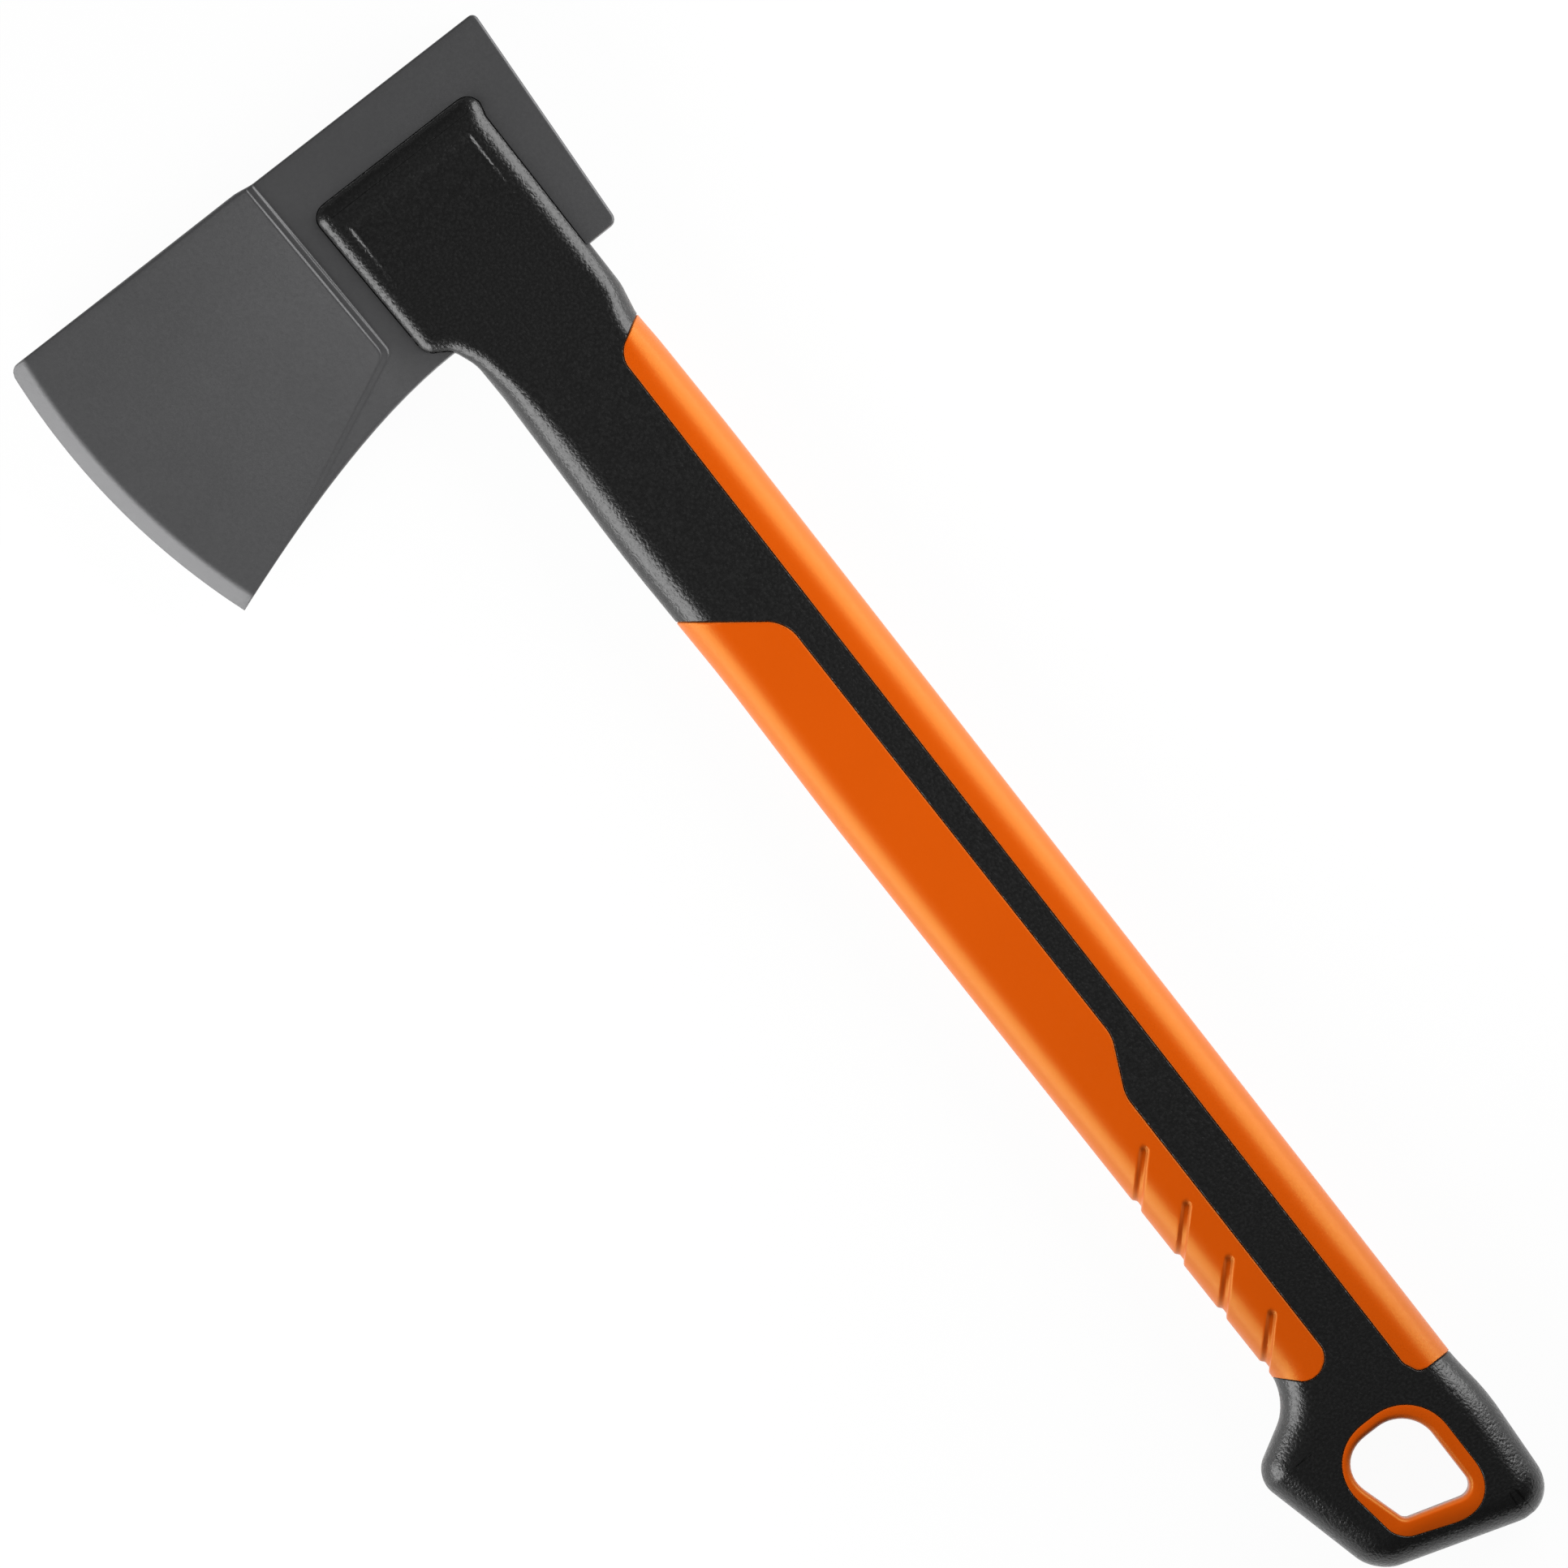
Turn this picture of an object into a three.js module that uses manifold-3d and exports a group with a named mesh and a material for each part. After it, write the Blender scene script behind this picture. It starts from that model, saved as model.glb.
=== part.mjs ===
// A felling axe: a forged steel head, held by a hollow nylon handle that is moulded round its web
// and tang, with soft grips and a lined hang hole.
// Millimetres. X runs from the top of the head to the knob, Y towards the poll, and Z up.
// The axe lies on its side, and its origin is at the bottom centre of its box.
import * as THREE from "three";
import { mergeVertices } from "three/addons/utils/BufferGeometryUtils.js";
import Module from "manifold-3d";

const wasm = await Module();
wasm.setup();

// Driving sizes of the whole axe. Y is counted from the handle's centre line throughout.
const overallLength = 602;
const restHalf = 14; // half thickness at the pad and the knob, which the axe lies on
const mouldGap = 0.3; // between each moulding and what it is moulded on

// The head. Its X is counted from its top edge.
const pollHeight = 83.7;
const pollReach = 42.6; // to the striking face, at the top
const pollDraft = 4.8; // how far the striking face leans in at its lower end
const pollTopRadius = 2.2;
const pollLowRadius = 2.8;
const steelHalf = 11; // half thickness of the poll and the neck
const steelChamfer = 1;
const toeReach = 149.4;
const toeRadius = 2.5;
const heelDrop = 109.6;
const heelReach = 137;
const edgeRadius = 247;
const edgeHalf = 0.2; // half thickness of the cutting edge
const bevelWidth = 5.8;
const bevelHalf = 1.7; // half thickness where the ground bevel meets the cheek
const cheekHollow = 5.4; // how far the cheek's curve is pulled in
const beardReach = 34; // to the top of the blade's underside
const beardDrop = 1.5; // the underside starts this far below the poll's lower end
const beardPull = 38; // length of the nearly straight part of the underside
const beardLean = 0.8; // how far that part leans towards the knob

// The raised cheek, which steps down to the neck along the ridge and a slanting lower border
const cheekProud = 1; // the blade's top edge stands this far above the neck's
const ridgeReach = 51.8; // to the ridge, at the top edge
const ridgeLean = 2.4; // the ridge comes this much nearer to the handle at its lower end
const ridgeLength = 71.5;
const fadeDrop = 97; // where the slanting border runs out into the underside
const fadeReach = 103;
const shoulderWidth = 2.3;
const shoulderDepth = 1.2; // at the ridge. It fades towards the cutting edge.

// The web inside the head's side pockets, and the tang that it runs on into
const webHalf = 3.5;
const tangLength = 44;
const tangFront = 20;
const tangBack = 13;
const tangRadius = 12;
const lockHoleRadius = 6;
const lockHoles = [
  [24, 5],
  [24, -21],
  [47, -8],
  [85, -3.5],
]; // drop below the pad's top edge, and Y

// The handle's outline, from the pad that fills the side pockets to the throat
const padTop = 20.5; // top edge of the head to the pad
const padFront = 40.7;
const padBack = 26;
const padCorner = 5.2;
const padRound = 5.3; // width of the pad's rounded border
const padRoundHeight = 4;
const panelInset = 10.5; // pad's top edge to its sunken panel
const panelFront = 32.5;
const panelBack = 17;
const panelLength = 30;
const panelDepth = 1.3;
const frontCorners = [
  [-4, 38.7, 5.2],
  [0.8, 30.8, 6],
  [9, 27.6, 14],
  [24, 27.2, 60],
  [88, 28.3, 500],
  [141, 27, 300],
  [197, 27.5, 600],
]; // drop below the poll's lower end, reach and fillet, from the pad down the shank's front
const backCorners = [
  [17, 26.2, 16],
  [28, 24.1, 16],
  [39, 24.7, 60],
  [77, 25.4, 600],
]; // the same, down its back
const gripFront = 24.8; // reach of the handle's front where it runs into the throat
const neckAt = 150; // where the handle has its neck's thickness
const neckHalf = 13;
const waistAt = 300;
const waistHalf = 12.2;
const gripAt = 145; // counted back from the knob's end
const gripHalf = 13.2;
const padRunOn = 4; // the pad's thickness runs on this far below the poll
const neckLength = 27; // from the poll to where the handle's section is the shank's
const roundRunOn = 25; // past there its rounded sides still widen
const shankRound = 11; // width of the shank's rounded sides
const shankBand = 1.5; // half height of the upright band in the middle of a rounded side

// The knob. Its X is counted back from the knob's end.
const knobRound = 10.5;
const knobRunIn = 35; // length on which the rounded sides narrow to the knob's
const knobRoundBack = 75; // where they have
const humpBack = 40;
const humpReach = 27.6;
const humpLength = 17; // from the hump to the shank's back
const humpFoot = 0.5; // the hump starts this far out from the shank's back
const humpRadius = 60;
const tipReach = 25;
const tipRadius = 12;
const tipAngle = 72; // degrees between the handle's back and the knob's end face
const endFace = 65.7; // length of the knob's end face, corner to corner
const knobHeelRadius = 15;
const hookBack = 64.7;
const hookReach = 49.9;
const hookRadius = 9.5;
const throatBack = 79;
const throatRadius = 17;

// The soft grips, moulded flush into the handle
const gripThickness = 2.5;
const backStart = 119; // top edge of the head to the back grip
const backSlope = 1.8; // rise of its slanting start, over its length along the handle
const backBorder = 11.4;
const backRound = 8;
const backEnd = 57; // counted back from the knob's end, as are the sizes below that name no start
const backEndRound = 4.5;
const bellyStart = 221; // top edge of the head to the belly grip
const bellySlope = 1.4;
const bellyBorder = 1.6;
const bellyRound = 12;
const bellyWaist = 208; // where the belly grip begins to narrow
const bellyNarrow = 17.5; // length of the narrowing
const bellyLowBorder = 6.3;
const bellyEnd = 77;
const bellyEndReach = 14; // to the tip of the belly grip's slanting end
const bellyEndLean = 4.5;
const bellyEndRound = 6;
const regionReach = 60; // the grips are cut from regions that reach this far out
const grooveCount = 4;
const groovePitch = 22.7;
const grooveStart = 173.5;
const grooveTop = 12;
const grooveLength = 24;
const grooveWidth = 3;
const grooveDepth = 1.2;

// The hang hole, with its corners counted back from the knob's end, and its liner
const holeLeft = 53.6;
const holeRight = 17.1;
const holeLowRight = 24.4; // the hole's lower right corner
const holeTop = 5;
const holeBottom = 28.2;
const holeSlope = 8.8; // the hole's lower side rises this much to the right
const holeRound = 13.3;
const holeSmallRound = 3.6;
const faceLeft = 3.7; // how far the face's corners stand out from the hole's, on each side
const faceTop = 5.4;
const faceRight = 9.7;
const faceLowRight = 3.7;
const faceBottom = 2.2;
const faceSlope = 5.4; // the face's lower side rises this much to the right
const faceRound = 18;
const faceSmallRound = 13;
const faceLowRound = 9;
const linerWall = 2.2;
const linerFlange = 2;
const mouthWidth = 1.8; // the rounded mouth of the hole
const mouthHeight = 3.4;

// The hollow that gas blows in the handle, and the port that it comes in by, closed by the liner
const wallThickness = 6.6;
const hollowStart = 142;
const hollowEnd = 96; // counted back from the knob's end
const portRadius = 1.9;
const portOverlap = 1; // the port runs this far into the hollow
const stubLength = 9;

// Steps of the rounded forms
const outerSteps = 4;
const innerSteps = 2;
const mouthSteps = 3;
const latheSteps = 144;
const cheekSteps = 5;
const beardSteps = 10;
const pegSteps = 10;
const rodSides = 16;
const slotSteps = 4;
const arcTolerance = 0.08;
const straightTolerance = 0.002; // a corner that turns less than this has no fillet
const leastRound = 0.5;
const stationStep = 24;
const stationGap = 1.4; // stations closer than this are merged
const cutterReach = 70; // half height of a cutter that goes right through

const fromEnd = (distance) => overallLength - distance;
const quarterTurn = Math.PI / 2;
const steel = new THREE.MeshStandardMaterial({ color: 0x505050, roughness: 0.5, metalness: 0.6 });
const nylon = new THREE.MeshStandardMaterial({ color: 0x232323, roughness: 0.65, metalness: 0 });
const softOrange = new THREE.MeshStandardMaterial({ color: 0xe0620e, roughness: 0.7, metalness: 0 });

// A closed solid from a geometry, with its vertices shared and its empty triangles left out
function solidFrom(geometry) {
  const bare = geometry.clone();
  bare.deleteAttribute("normal");
  bare.deleteAttribute("uv");
  const merged = mergeVertices(bare, 1e-4);
  const index = merged.index.array;
  const kept = [];
  for (let i = 0; i < index.length; i += 3) {
    const [a, b, c] = index.subarray(i, i + 3);
    if (a !== b && b !== c && c !== a) kept.push(a, b, c);
  }
  return new wasm.Manifold(
    new wasm.Mesh({
      numProp: 3,
      vertProperties: merged.attributes.position.array,
      triVerts: new Uint32Array(kept),
    }),
  );
}

function meshFrom(name, solid, material) {
  const result = solid.getMesh();
  const geometry = new THREE.BufferGeometry();
  geometry.setAttribute("position", new THREE.BufferAttribute(result.vertProperties, 3));
  geometry.setIndex(new THREE.BufferAttribute(result.triVerts, 1));
  geometry.computeVertexNormals();
  const mesh = new THREE.Mesh(geometry, material);
  mesh.name = name;
  return mesh;
}

// An outline from corners [x, y, fillet radius]. A fillet is limited by the sides that it joins.
function roundedOutline(corners) {
  const points = [];
  const cornerAt = (i) => new THREE.Vector2(...corners[(i + corners.length) % corners.length]);
  corners.forEach(([x, y, wanted = 0], i) => {
    const here = new THREE.Vector2(x, y);
    const toBefore = cornerAt(i - 1).sub(here);
    const toAfter = cornerAt(i + 1).sub(here);
    const room = 0.499 * Math.min(toBefore.length(), toAfter.length());
    toBefore.normalize();
    toAfter.normalize();
    const half = Math.acos(THREE.MathUtils.clamp(toBefore.dot(toAfter), -1, 1)) / 2;
    const radius = Math.min(wanted, room * Math.tan(half));
    if (radius < arcTolerance || quarterTurn - half < straightTolerance) {
      points.push(here);
      return;
    }
    const middle = toBefore.clone().add(toAfter).normalize();
    const centre = here.clone().addScaledVector(middle, radius / Math.sin(half));
    const start = here.clone().addScaledVector(toBefore, radius / Math.tan(half)).sub(centre);
    const turn = Math.sign(toBefore.cross(toAfter)) * -(Math.PI - 2 * half);
    const steps = Math.max(2, Math.ceil(Math.abs(turn) / (2 * Math.acos(1 - arcTolerance / radius))));
    for (let k = 0; k <= steps; k++) {
      const spoke = start.clone().rotateAround(new THREE.Vector2(), (turn * k) / steps);
      points.push(spoke.add(centre));
    }
  });
  return points;
}

// Inward normals of a counterclockwise outline, longer at its corners so that offsets stay parallel
function inwardNormals(points) {
  const sideNormal = (a, b) => new THREE.Vector2(a.y - b.y, b.x - a.x).normalize();
  return points.map((here, i) => {
    const before = sideNormal(points.at(i - 1), here);
    const after = sideNormal(here, points[(i + 1) % points.length]);
    const normal = before.clone().add(after).normalize();
    return normal.divideScalar(Math.max(0.5, normal.dot(after)));
  });
}

function growOutline(points, distance) {
  const normals = inwardNormals(points);
  return points.map((point, i) => point.clone().addScaledVector(normals[i], -distance));
}

function prism(points, low = -cutterReach, high = cutterReach) {
  const options = { depth: high - low, bevelEnabled: false };
  return solidFrom(new THREE.ExtrudeGeometry(new THREE.Shape(points), options).translate(0, 0, low));
}

// A closed body from level rings of points, lowest first, each counterclockwise from above
function stackedBody(rings, capTriangles) {
  const count = rings[0].length;
  const top = (rings.length - 1) * count;
  const index = [];
  for (let start = 0; start < top; start += count) {
    for (let i = 0; i < count; i++) {
      const a = start + i;
      const b = start + ((i + 1) % count);
      index.push(a, b, b + count, a, b + count, a + count);
    }
  }
  capTriangles.forEach(([a, b, c]) => index.push(c, b, a, top + a, top + b, top + c));
  const geometry = new THREE.BufferGeometry().setFromPoints(rings.flat());
  geometry.setIndex(index);
  return solidFrom(geometry);
}

// Half of all space, up to a face through a point, as a large block
function halfSpace(point, outward) {
  const size = 8 * cutterReach;
  const block = new THREE.BoxGeometry(size, size, size).translate(0, 0, -size / 2);
  const up = new THREE.Vector3(0, 0, 1);
  block.applyQuaternion(new THREE.Quaternion().setFromUnitVectors(up, outward.clone().normalize()));
  return solidFrom(block.translate(point.x, point.y, point.z));
}

// A smooth run through stations [x, value], level at each of them
function smoothRun(stations, x) {
  const next = stations.findIndex(([end]) => x < end);
  if (next === 0) return stations[0][1];
  if (next < 0) return stations.at(-1)[1];
  const [fromX, fromValue] = stations[next - 1];
  const [toX, toValue] = stations[next];
  return THREE.MathUtils.lerp(fromValue, toValue, THREE.MathUtils.smoothstep(x, fromX, toX));
}

// The handle's outline: its corners along the front, round the knob and back along the poll side
function handleCorners() {
  const radians = THREE.MathUtils.degToRad(tipAngle);
  const tipX = overallLength - tipRadius + tipRadius / Math.tan(radians / 2);
  const heelX = tipX - endFace * Math.cos(radians);
  const heelY = tipReach - endFace * Math.sin(radians);
  const front = frontCorners.map(([drop, reach, radius]) => [pollHeight + drop, -reach, radius]);
  const back = backCorners.map(([drop, reach, radius]) => [pollHeight + drop, reach, radius]).reverse();
  return [
    [padTop, -padFront, padCorner],
    ...front,
    [fromEnd(throatBack), -gripFront, throatRadius],
    [fromEnd(hookBack), -hookReach, hookRadius],
    [heelX, heelY, knobHeelRadius],
    [tipX, tipReach, tipRadius],
    [fromEnd(humpBack), humpReach, humpRadius],
    [fromEnd(humpBack + humpLength), back[0][1] + humpFoot, humpRadius],
    ...back,
    [padTop, padBack, padCorner],
  ];
}

// The outline resampled so that each point at the front has one straight across at the back
function handleSides() {
  const outline = roundedOutline(handleCorners());
  const tip = outline.reduce((best, point, i) => (point.x > outline[best].x ? i : best), 0);
  const front = outline.slice(0, tip + 1);
  const back = outline.slice(tip).reverse();
  const wanted = outline.map((point) => point.x);
  for (let x = padTop; x < overallLength; x += stationStep) wanted.push(x);
  const stations = [padTop];
  wanted.sort((a, b) => a - b);
  wanted.forEach((x) => {
    if (x - stations.at(-1) >= stationGap && overallLength - x >= stationGap) stations.push(x);
  });
  stations.push(overallLength);
  const sideAt = (side, x) => {
    const next = Math.max(1, side.findIndex((point) => point.x >= x));
    const [a, b] = [side[next - 1], side[next]];
    const share = b.x > a.x ? THREE.MathUtils.clamp((x - a.x) / (b.x - a.x), 0, 1) : 1;
    return new THREE.Vector2(x, THREE.MathUtils.lerp(a.y, b.y, share));
  };
  const frontPoints = stations.map((x) => sideAt(front, x));
  const backPoints = stations.map((x) => sideAt(back, x));
  return [...frontPoints, ...backPoints.reverse()];
}

const sides = handleSides();
const sideNormals = inwardNormals(sides);

const thicknessStations = [
  [pollHeight + padRunOn, restHalf],
  [neckAt, neckHalf],
  [waistAt, waistHalf],
  [fromEnd(gripAt), gripHalf],
  [fromEnd(holeLeft), restHalf],
];
const roundStations = [
  [pollHeight, padRound],
  [pollHeight + neckLength + roundRunOn, shankRound],
  [fromEnd(knobRoundBack + knobRunIn), shankRound],
  [fromEnd(knobRoundBack), knobRound],
];
const halfThickness = (x) => smoothRun(thicknessStations, x);
const roundWidth = (x) => smoothRun(roundStations, x);
const roundHeight = (x) => {
  const full = halfThickness(x) - shankBand;
  return smoothRun([[pollHeight, padRoundHeight], [pollHeight + neckLength, full]], x);
};

// The handle's form, drawn in by a depth all round
function handleForm(depth, steps = innerSteps) {
  const ring = (angle, sign) =>
    sides.map((point, i) => {
      const half = halfThickness(point.x);
      const width = Math.max(leastRound, roundWidth(point.x) - depth);
      const rise = Math.max(leastRound, roundHeight(point.x) - depth);
      const inset = depth + width * (1 - Math.cos(angle));
      const z = half - depth - rise * (1 - Math.sin(angle));
      const moved = point.clone().addScaledVector(sideNormals[i], inset);
      return new THREE.Vector3(moved.x, moved.y, sign * z);
    });
  const angles = Array.from({ length: steps + 1 }, (_, k) => (k / steps) * quarterTurn);
  const lower = angles.toReversed().map((angle) => ring(angle, -1));
  const upper = angles.map((angle) => ring(angle, 1));
  const last = sides.length - 1;
  const rungs = [];
  for (let i = 0; i < sides.length / 2 - 1; i++) {
    rungs.push([i, i + 1, last - 1 - i], [i, last - 1 - i, last - i]);
  }
  return stackedBody([...lower, ...upper], rungs);
}

// The head's outline, with its top edge at a given X. The cutting edge is cut round later.
const toe = new THREE.Vector2(0, -toeReach);
const heel = new THREE.Vector2(heelDrop, -heelReach);
const chord = heel.clone().sub(toe);
const chordMiddle = toe.clone().lerp(heel, 0.5);
const towardsHandle = new THREE.Vector2(-chord.y, chord.x).normalize();
const centreRise = Math.sqrt(edgeRadius ** 2 - chord.lengthSq() / 4);
const edgeCentre = chordMiddle.clone().addScaledVector(towardsHandle, centreRise);

function headOutline(top) {
  const tangentDrop = chord.lengthSq() / 4 / centreRise;
  const corner = chordMiddle.clone().addScaledVector(towardsHandle, -tangentDrop);
  const beard = new THREE.Vector2(pollHeight + beardDrop, -beardReach);
  const pull = new THREE.Vector2(beard.x + beardLean, beard.y - beardPull);
  const underside = new THREE.QuadraticBezierCurve(heel, pull, beard).getPoints(beardSteps);
  const rounded = roundedOutline([
    [pollHeight, pollReach - pollDraft, pollLowRadius],
    [top, pollReach, pollTopRadius],
    [top, -toeReach, toeRadius],
    [corner.x, corner.y],
  ]);
  return [...rounded, ...underside];
}

// The blade's form: its wedge, ground bevel and round cutting edge, turned about the edge's centre.
// The form has a half thickness at the ridge, and runs on past it.
const ridgeRadius = edgeRadius - (toeReach - ridgeReach);
const bevelRadius = edgeRadius - bevelWidth;
const ridgeHalf = steelHalf + shoulderDepth;

function cheekForm(halfAtRidge) {
  const bevel = new THREE.Vector2(bevelRadius, bevelHalf);
  const ridge = new THREE.Vector2(ridgeRadius, halfAtRidge);
  const pull = bevel.clone().lerp(ridge, 0.5);
  pull.y -= cheekHollow;
  const cheek = new THREE.QuadraticBezierCurve(bevel, pull, ridge).getPoints(cheekSteps);
  const beyond = ridge.clone().lerp(pull, -1);
  const upper = [new THREE.Vector2(edgeRadius, edgeHalf), ...cheek, beyond, new THREE.Vector2(0, beyond.y)];
  const lower = upper.map(({ x, y }) => new THREE.Vector2(x, -y)).reverse();
  const turned = new THREE.LatheGeometry([...lower, ...upper], latheSteps).rotateX(quarterTurn);
  return solidFrom(turned.translate(edgeCentre.x, edgeCentre.y, 0));
}

// The height of the raised cheek's curve over a point of the head
function cheekHeight(point) {
  const share = (bevelRadius - edgeCentre.distanceTo(point)) / (bevelRadius - ridgeRadius);
  const straight = THREE.MathUtils.lerp(bevelHalf, ridgeHalf, share);
  return straight - 2 * cheekHollow * share * (1 - share);
}

// The raised cheek is bounded by a shoulder that slopes down on both faces along a border a to b
function shoulder(a, b, sign) {
  const from = new THREE.Vector3(a.x, a.y, cheekHeight(a));
  const to = new THREE.Vector3(b.x, b.y, cheekHeight(b));
  const along = to.clone().sub(from).normalize();
  const outward = new THREE.Vector3(-(b.y - a.y), b.x - a.x, 0).normalize();
  const down = outward.multiplyScalar(shoulderWidth).add(new THREE.Vector3(0, 0, -shoulderDepth));
  const normal = along.cross(down);
  if (normal.z < 0) normal.negate();
  const flip = new THREE.Vector3(1, 1, sign);
  return halfSpace(from.multiply(flip), normal.multiply(flip));
}

function raisedCheek() {
  const ridgeTop = new THREE.Vector2(0, -ridgeReach);
  const ridgeLow = new THREE.Vector2(ridgeLength, -ridgeReach + ridgeLean);
  const fade = new THREE.Vector2(fadeDrop, -fadeReach);
  const back = new THREE.Vector3(0, ridgeLow.y + shoulderWidth, 0);
  let cheek = prism(headOutline(0)).intersect(cheekForm(ridgeHalf));
  cheek = cheek.intersect(halfSpace(back, new THREE.Vector3(0, 1, 0)));
  for (const sign of [1, -1]) {
    cheek = cheek.intersect(shoulder(ridgeTop, ridgeLow, sign));
    cheek = cheek.intersect(shoulder(ridgeLow, fade, sign));
  }
  return cheek;
}

function neckAndPoll() {
  const options = {
    depth: 2 * (steelHalf - steelChamfer),
    bevelThickness: steelChamfer,
    bevelSize: steelChamfer,
    bevelOffset: -steelChamfer,
    bevelSegments: 1,
  };
  const geometry = new THREE.ExtrudeGeometry(new THREE.Shape(headOutline(cheekProud)), options);
  const solid = solidFrom(geometry.translate(0, 0, steelChamfer - steelHalf));
  return solid.intersect(cheekForm(steelHalf));
}

function tangOutline() {
  const end = pollHeight + tangLength;
  return roundedOutline([
    [pollHeight - tangRadius, -tangFront],
    [end, -tangFront, tangRadius],
    [end, tangBack, tangRadius],
    [pollHeight - tangRadius, tangBack],
  ]);
}

function lockPegs(radius) {
  const circle = (x, y) => new THREE.Path().absarc(x, y, radius, 0, 4 * quarterTurn);
  const disc = (x, y) => circle(x, y).getPoints(pegSteps).slice(1);
  return lockHoles.map(([drop, y]) => prism(disc(padTop + drop, y))).reduce((all, peg) => all.add(peg));
}

function headSolid() {
  const level = (height) => halfSpace(new THREE.Vector3(0, 0, height), new THREE.Vector3(0, 0, height));
  const web = level(webHalf).intersect(level(-webHalf));
  const pockets = handleForm(-mouldGap, outerSteps).subtract(web);
  const steelBody = neckAndPoll().add(raisedCheek()).subtract(pockets);
  return steelBody.add(prism(tangOutline(), -webHalf, webHalf)).subtract(lockPegs(lockHoleRadius));
}

// The cutter that leaves room in the handle for the web and the tang, round the pegs that lock them
function webRoom() {
  const half = webHalf + mouldGap;
  const inHead = prism(growOutline(headOutline(cheekProud), mouldGap), -half, half);
  const inHandle = prism(growOutline(tangOutline(), mouldGap), -half, half);
  return inHead.add(inHandle).subtract(lockPegs(lockHoleRadius - mouldGap));
}

// The sunken panel of a pad, deepest towards the head's top edge
function panelCutter(sign) {
  const start = padTop + panelInset;
  const floor = restHalf - panelDepth;
  const above = restHalf + panelDepth;
  const profile = [
    [start, floor],
    [start + panelLength, restHalf],
    [start + panelLength, above],
    [start, above],
  ];
  const shape = new THREE.Shape(profile.map(([x, z]) => new THREE.Vector2(x, sign * z)));
  const geometry = new THREE.ExtrudeGeometry(shape, { depth: panelFront + panelBack, bevelEnabled: false });
  return solidFrom(geometry.rotateX(quarterTurn).translate(0, panelBack, 0));
}

// The regions of the grips, seen from above, run on past the handle's edges
function bellyRegion() {
  const waist = fromEnd(bellyWaist);
  const end = fromEnd(bellyEnd);
  return roundedOutline([
    [bellyStart - (regionReach + bellyBorder) / bellySlope, -regionReach],
    [end - (regionReach - bellyEndReach), -regionReach],
    [end, -bellyEndReach, bellyEndRound],
    [end - bellyEndLean, -bellyLowBorder, bellyEndRound],
    [waist + bellyNarrow, -bellyLowBorder, bellyRound],
    [waist, bellyBorder, bellyRound],
    [bellyStart, bellyBorder, bellyRound],
  ]);
}

function backRegion() {
  const end = fromEnd(backEnd);
  return roundedOutline([
    [backStart, backBorder, backRound],
    [end, backBorder, backEndRound],
    [end, regionReach],
    [backStart - (regionReach - backBorder) / backSlope, regionReach],
  ]);
}

function grooveCutters() {
  const radius = grooveWidth / 2;
  const slot = (x) => {
    const end = new THREE.Vector2(x + grooveLength, -grooveTop - grooveLength);
    const path = new THREE.Path().absarc(x, -grooveTop, radius, quarterTurn / 2, 2.5 * quarterTurn);
    path.absarc(end.x, end.y, radius, 2.5 * quarterTurn, 4.5 * quarterTurn);
    return prism(path.getPoints(slotSteps));
  };
  const starts = Array.from({ length: grooveCount }, (_, i) => fromEnd(grooveStart) + i * groovePitch);
  const slots = starts.map(slot).reduce((all, one) => all.add(one));
  return slots.subtract(handleForm(grooveDepth));
}

// The hang hole's outline and the outline of the liner's face
function holeOutline() {
  return roundedOutline([
    [fromEnd(holeLeft), holeTop, holeRound],
    [fromEnd(holeLeft), -holeBottom, holeRound],
    [fromEnd(holeLowRight), -holeBottom + holeSlope, holeSmallRound],
    [fromEnd(holeRight), holeTop, holeSmallRound],
  ]);
}

function faceOutline() {
  return roundedOutline([
    [fromEnd(holeLeft + faceLeft), holeTop + faceTop, faceRound],
    [fromEnd(holeLeft + faceLeft), -holeBottom - faceBottom, faceRound],
    [fromEnd(holeLowRight - faceLowRight), -holeBottom - faceBottom + faceSlope, faceLowRound],
    [fromEnd(holeRight - faceRight), holeTop + faceTop, faceSmallRound],
  ]);
}

// The hole, with its rounded mouths
function holeCutter() {
  const outline = holeOutline();
  const half = halfThickness(fromEnd((holeLeft + holeRight) / 2));
  const levels = [{ growth: mouthWidth, z: half + mouthHeight }];
  for (let k = mouthSteps; k >= 0; k--) {
    const angle = (k / mouthSteps) * quarterTurn;
    const growth = mouthWidth * (1 - Math.cos(angle));
    levels.push({ growth, z: half - mouthHeight * (1 - Math.sin(angle)) });
  }
  const ring = ({ growth, z }, sign) =>
    growOutline(outline, growth).map(({ x, y }) => new THREE.Vector3(x, y, sign * z));
  const lower = levels.map((level) => ring(level, -1));
  const upper = levels.toReversed().map((level) => ring(level, 1));
  return stackedBody([...lower, ...upper], THREE.ShapeUtils.triangulateShape(outline, []));
}

// A rod along X in the middle of the hang hole's height, from one X to another
function portRod(radius, fromX, toX) {
  const rod = new THREE.CylinderGeometry(radius, radius, toX - fromX, rodSides).rotateZ(quarterTurn);
  return solidFrom(rod.translate((fromX + toX) / 2, (holeTop - holeBottom) / 2, 0));
}

const outerForm = handleForm(0, outerSteps);
const gripCore = handleForm(gripThickness);
const gripSeat = handleForm(gripThickness + mouldGap);

// What a grip or the liner fills of the handle's form, and the room that the handle leaves it
const inset = (region, core) => prism(region).intersect(outerForm).subtract(core);
const insetRoom = (region, seat) => prism(growOutline(region, mouldGap)).subtract(seat);

function linerSolid() {
  const ring = inset(faceOutline(), handleForm(linerFlange));
  const tube = prism(growOutline(holeOutline(), linerWall)).intersect(outerForm);
  const wallX = fromEnd(holeLeft) - linerWall;
  const stub = portRod(portRadius - mouldGap, wallX - stubLength, wallX + linerWall / 2);
  return ring.add(tube).add(stub).subtract(holeCutter());
}

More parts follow.
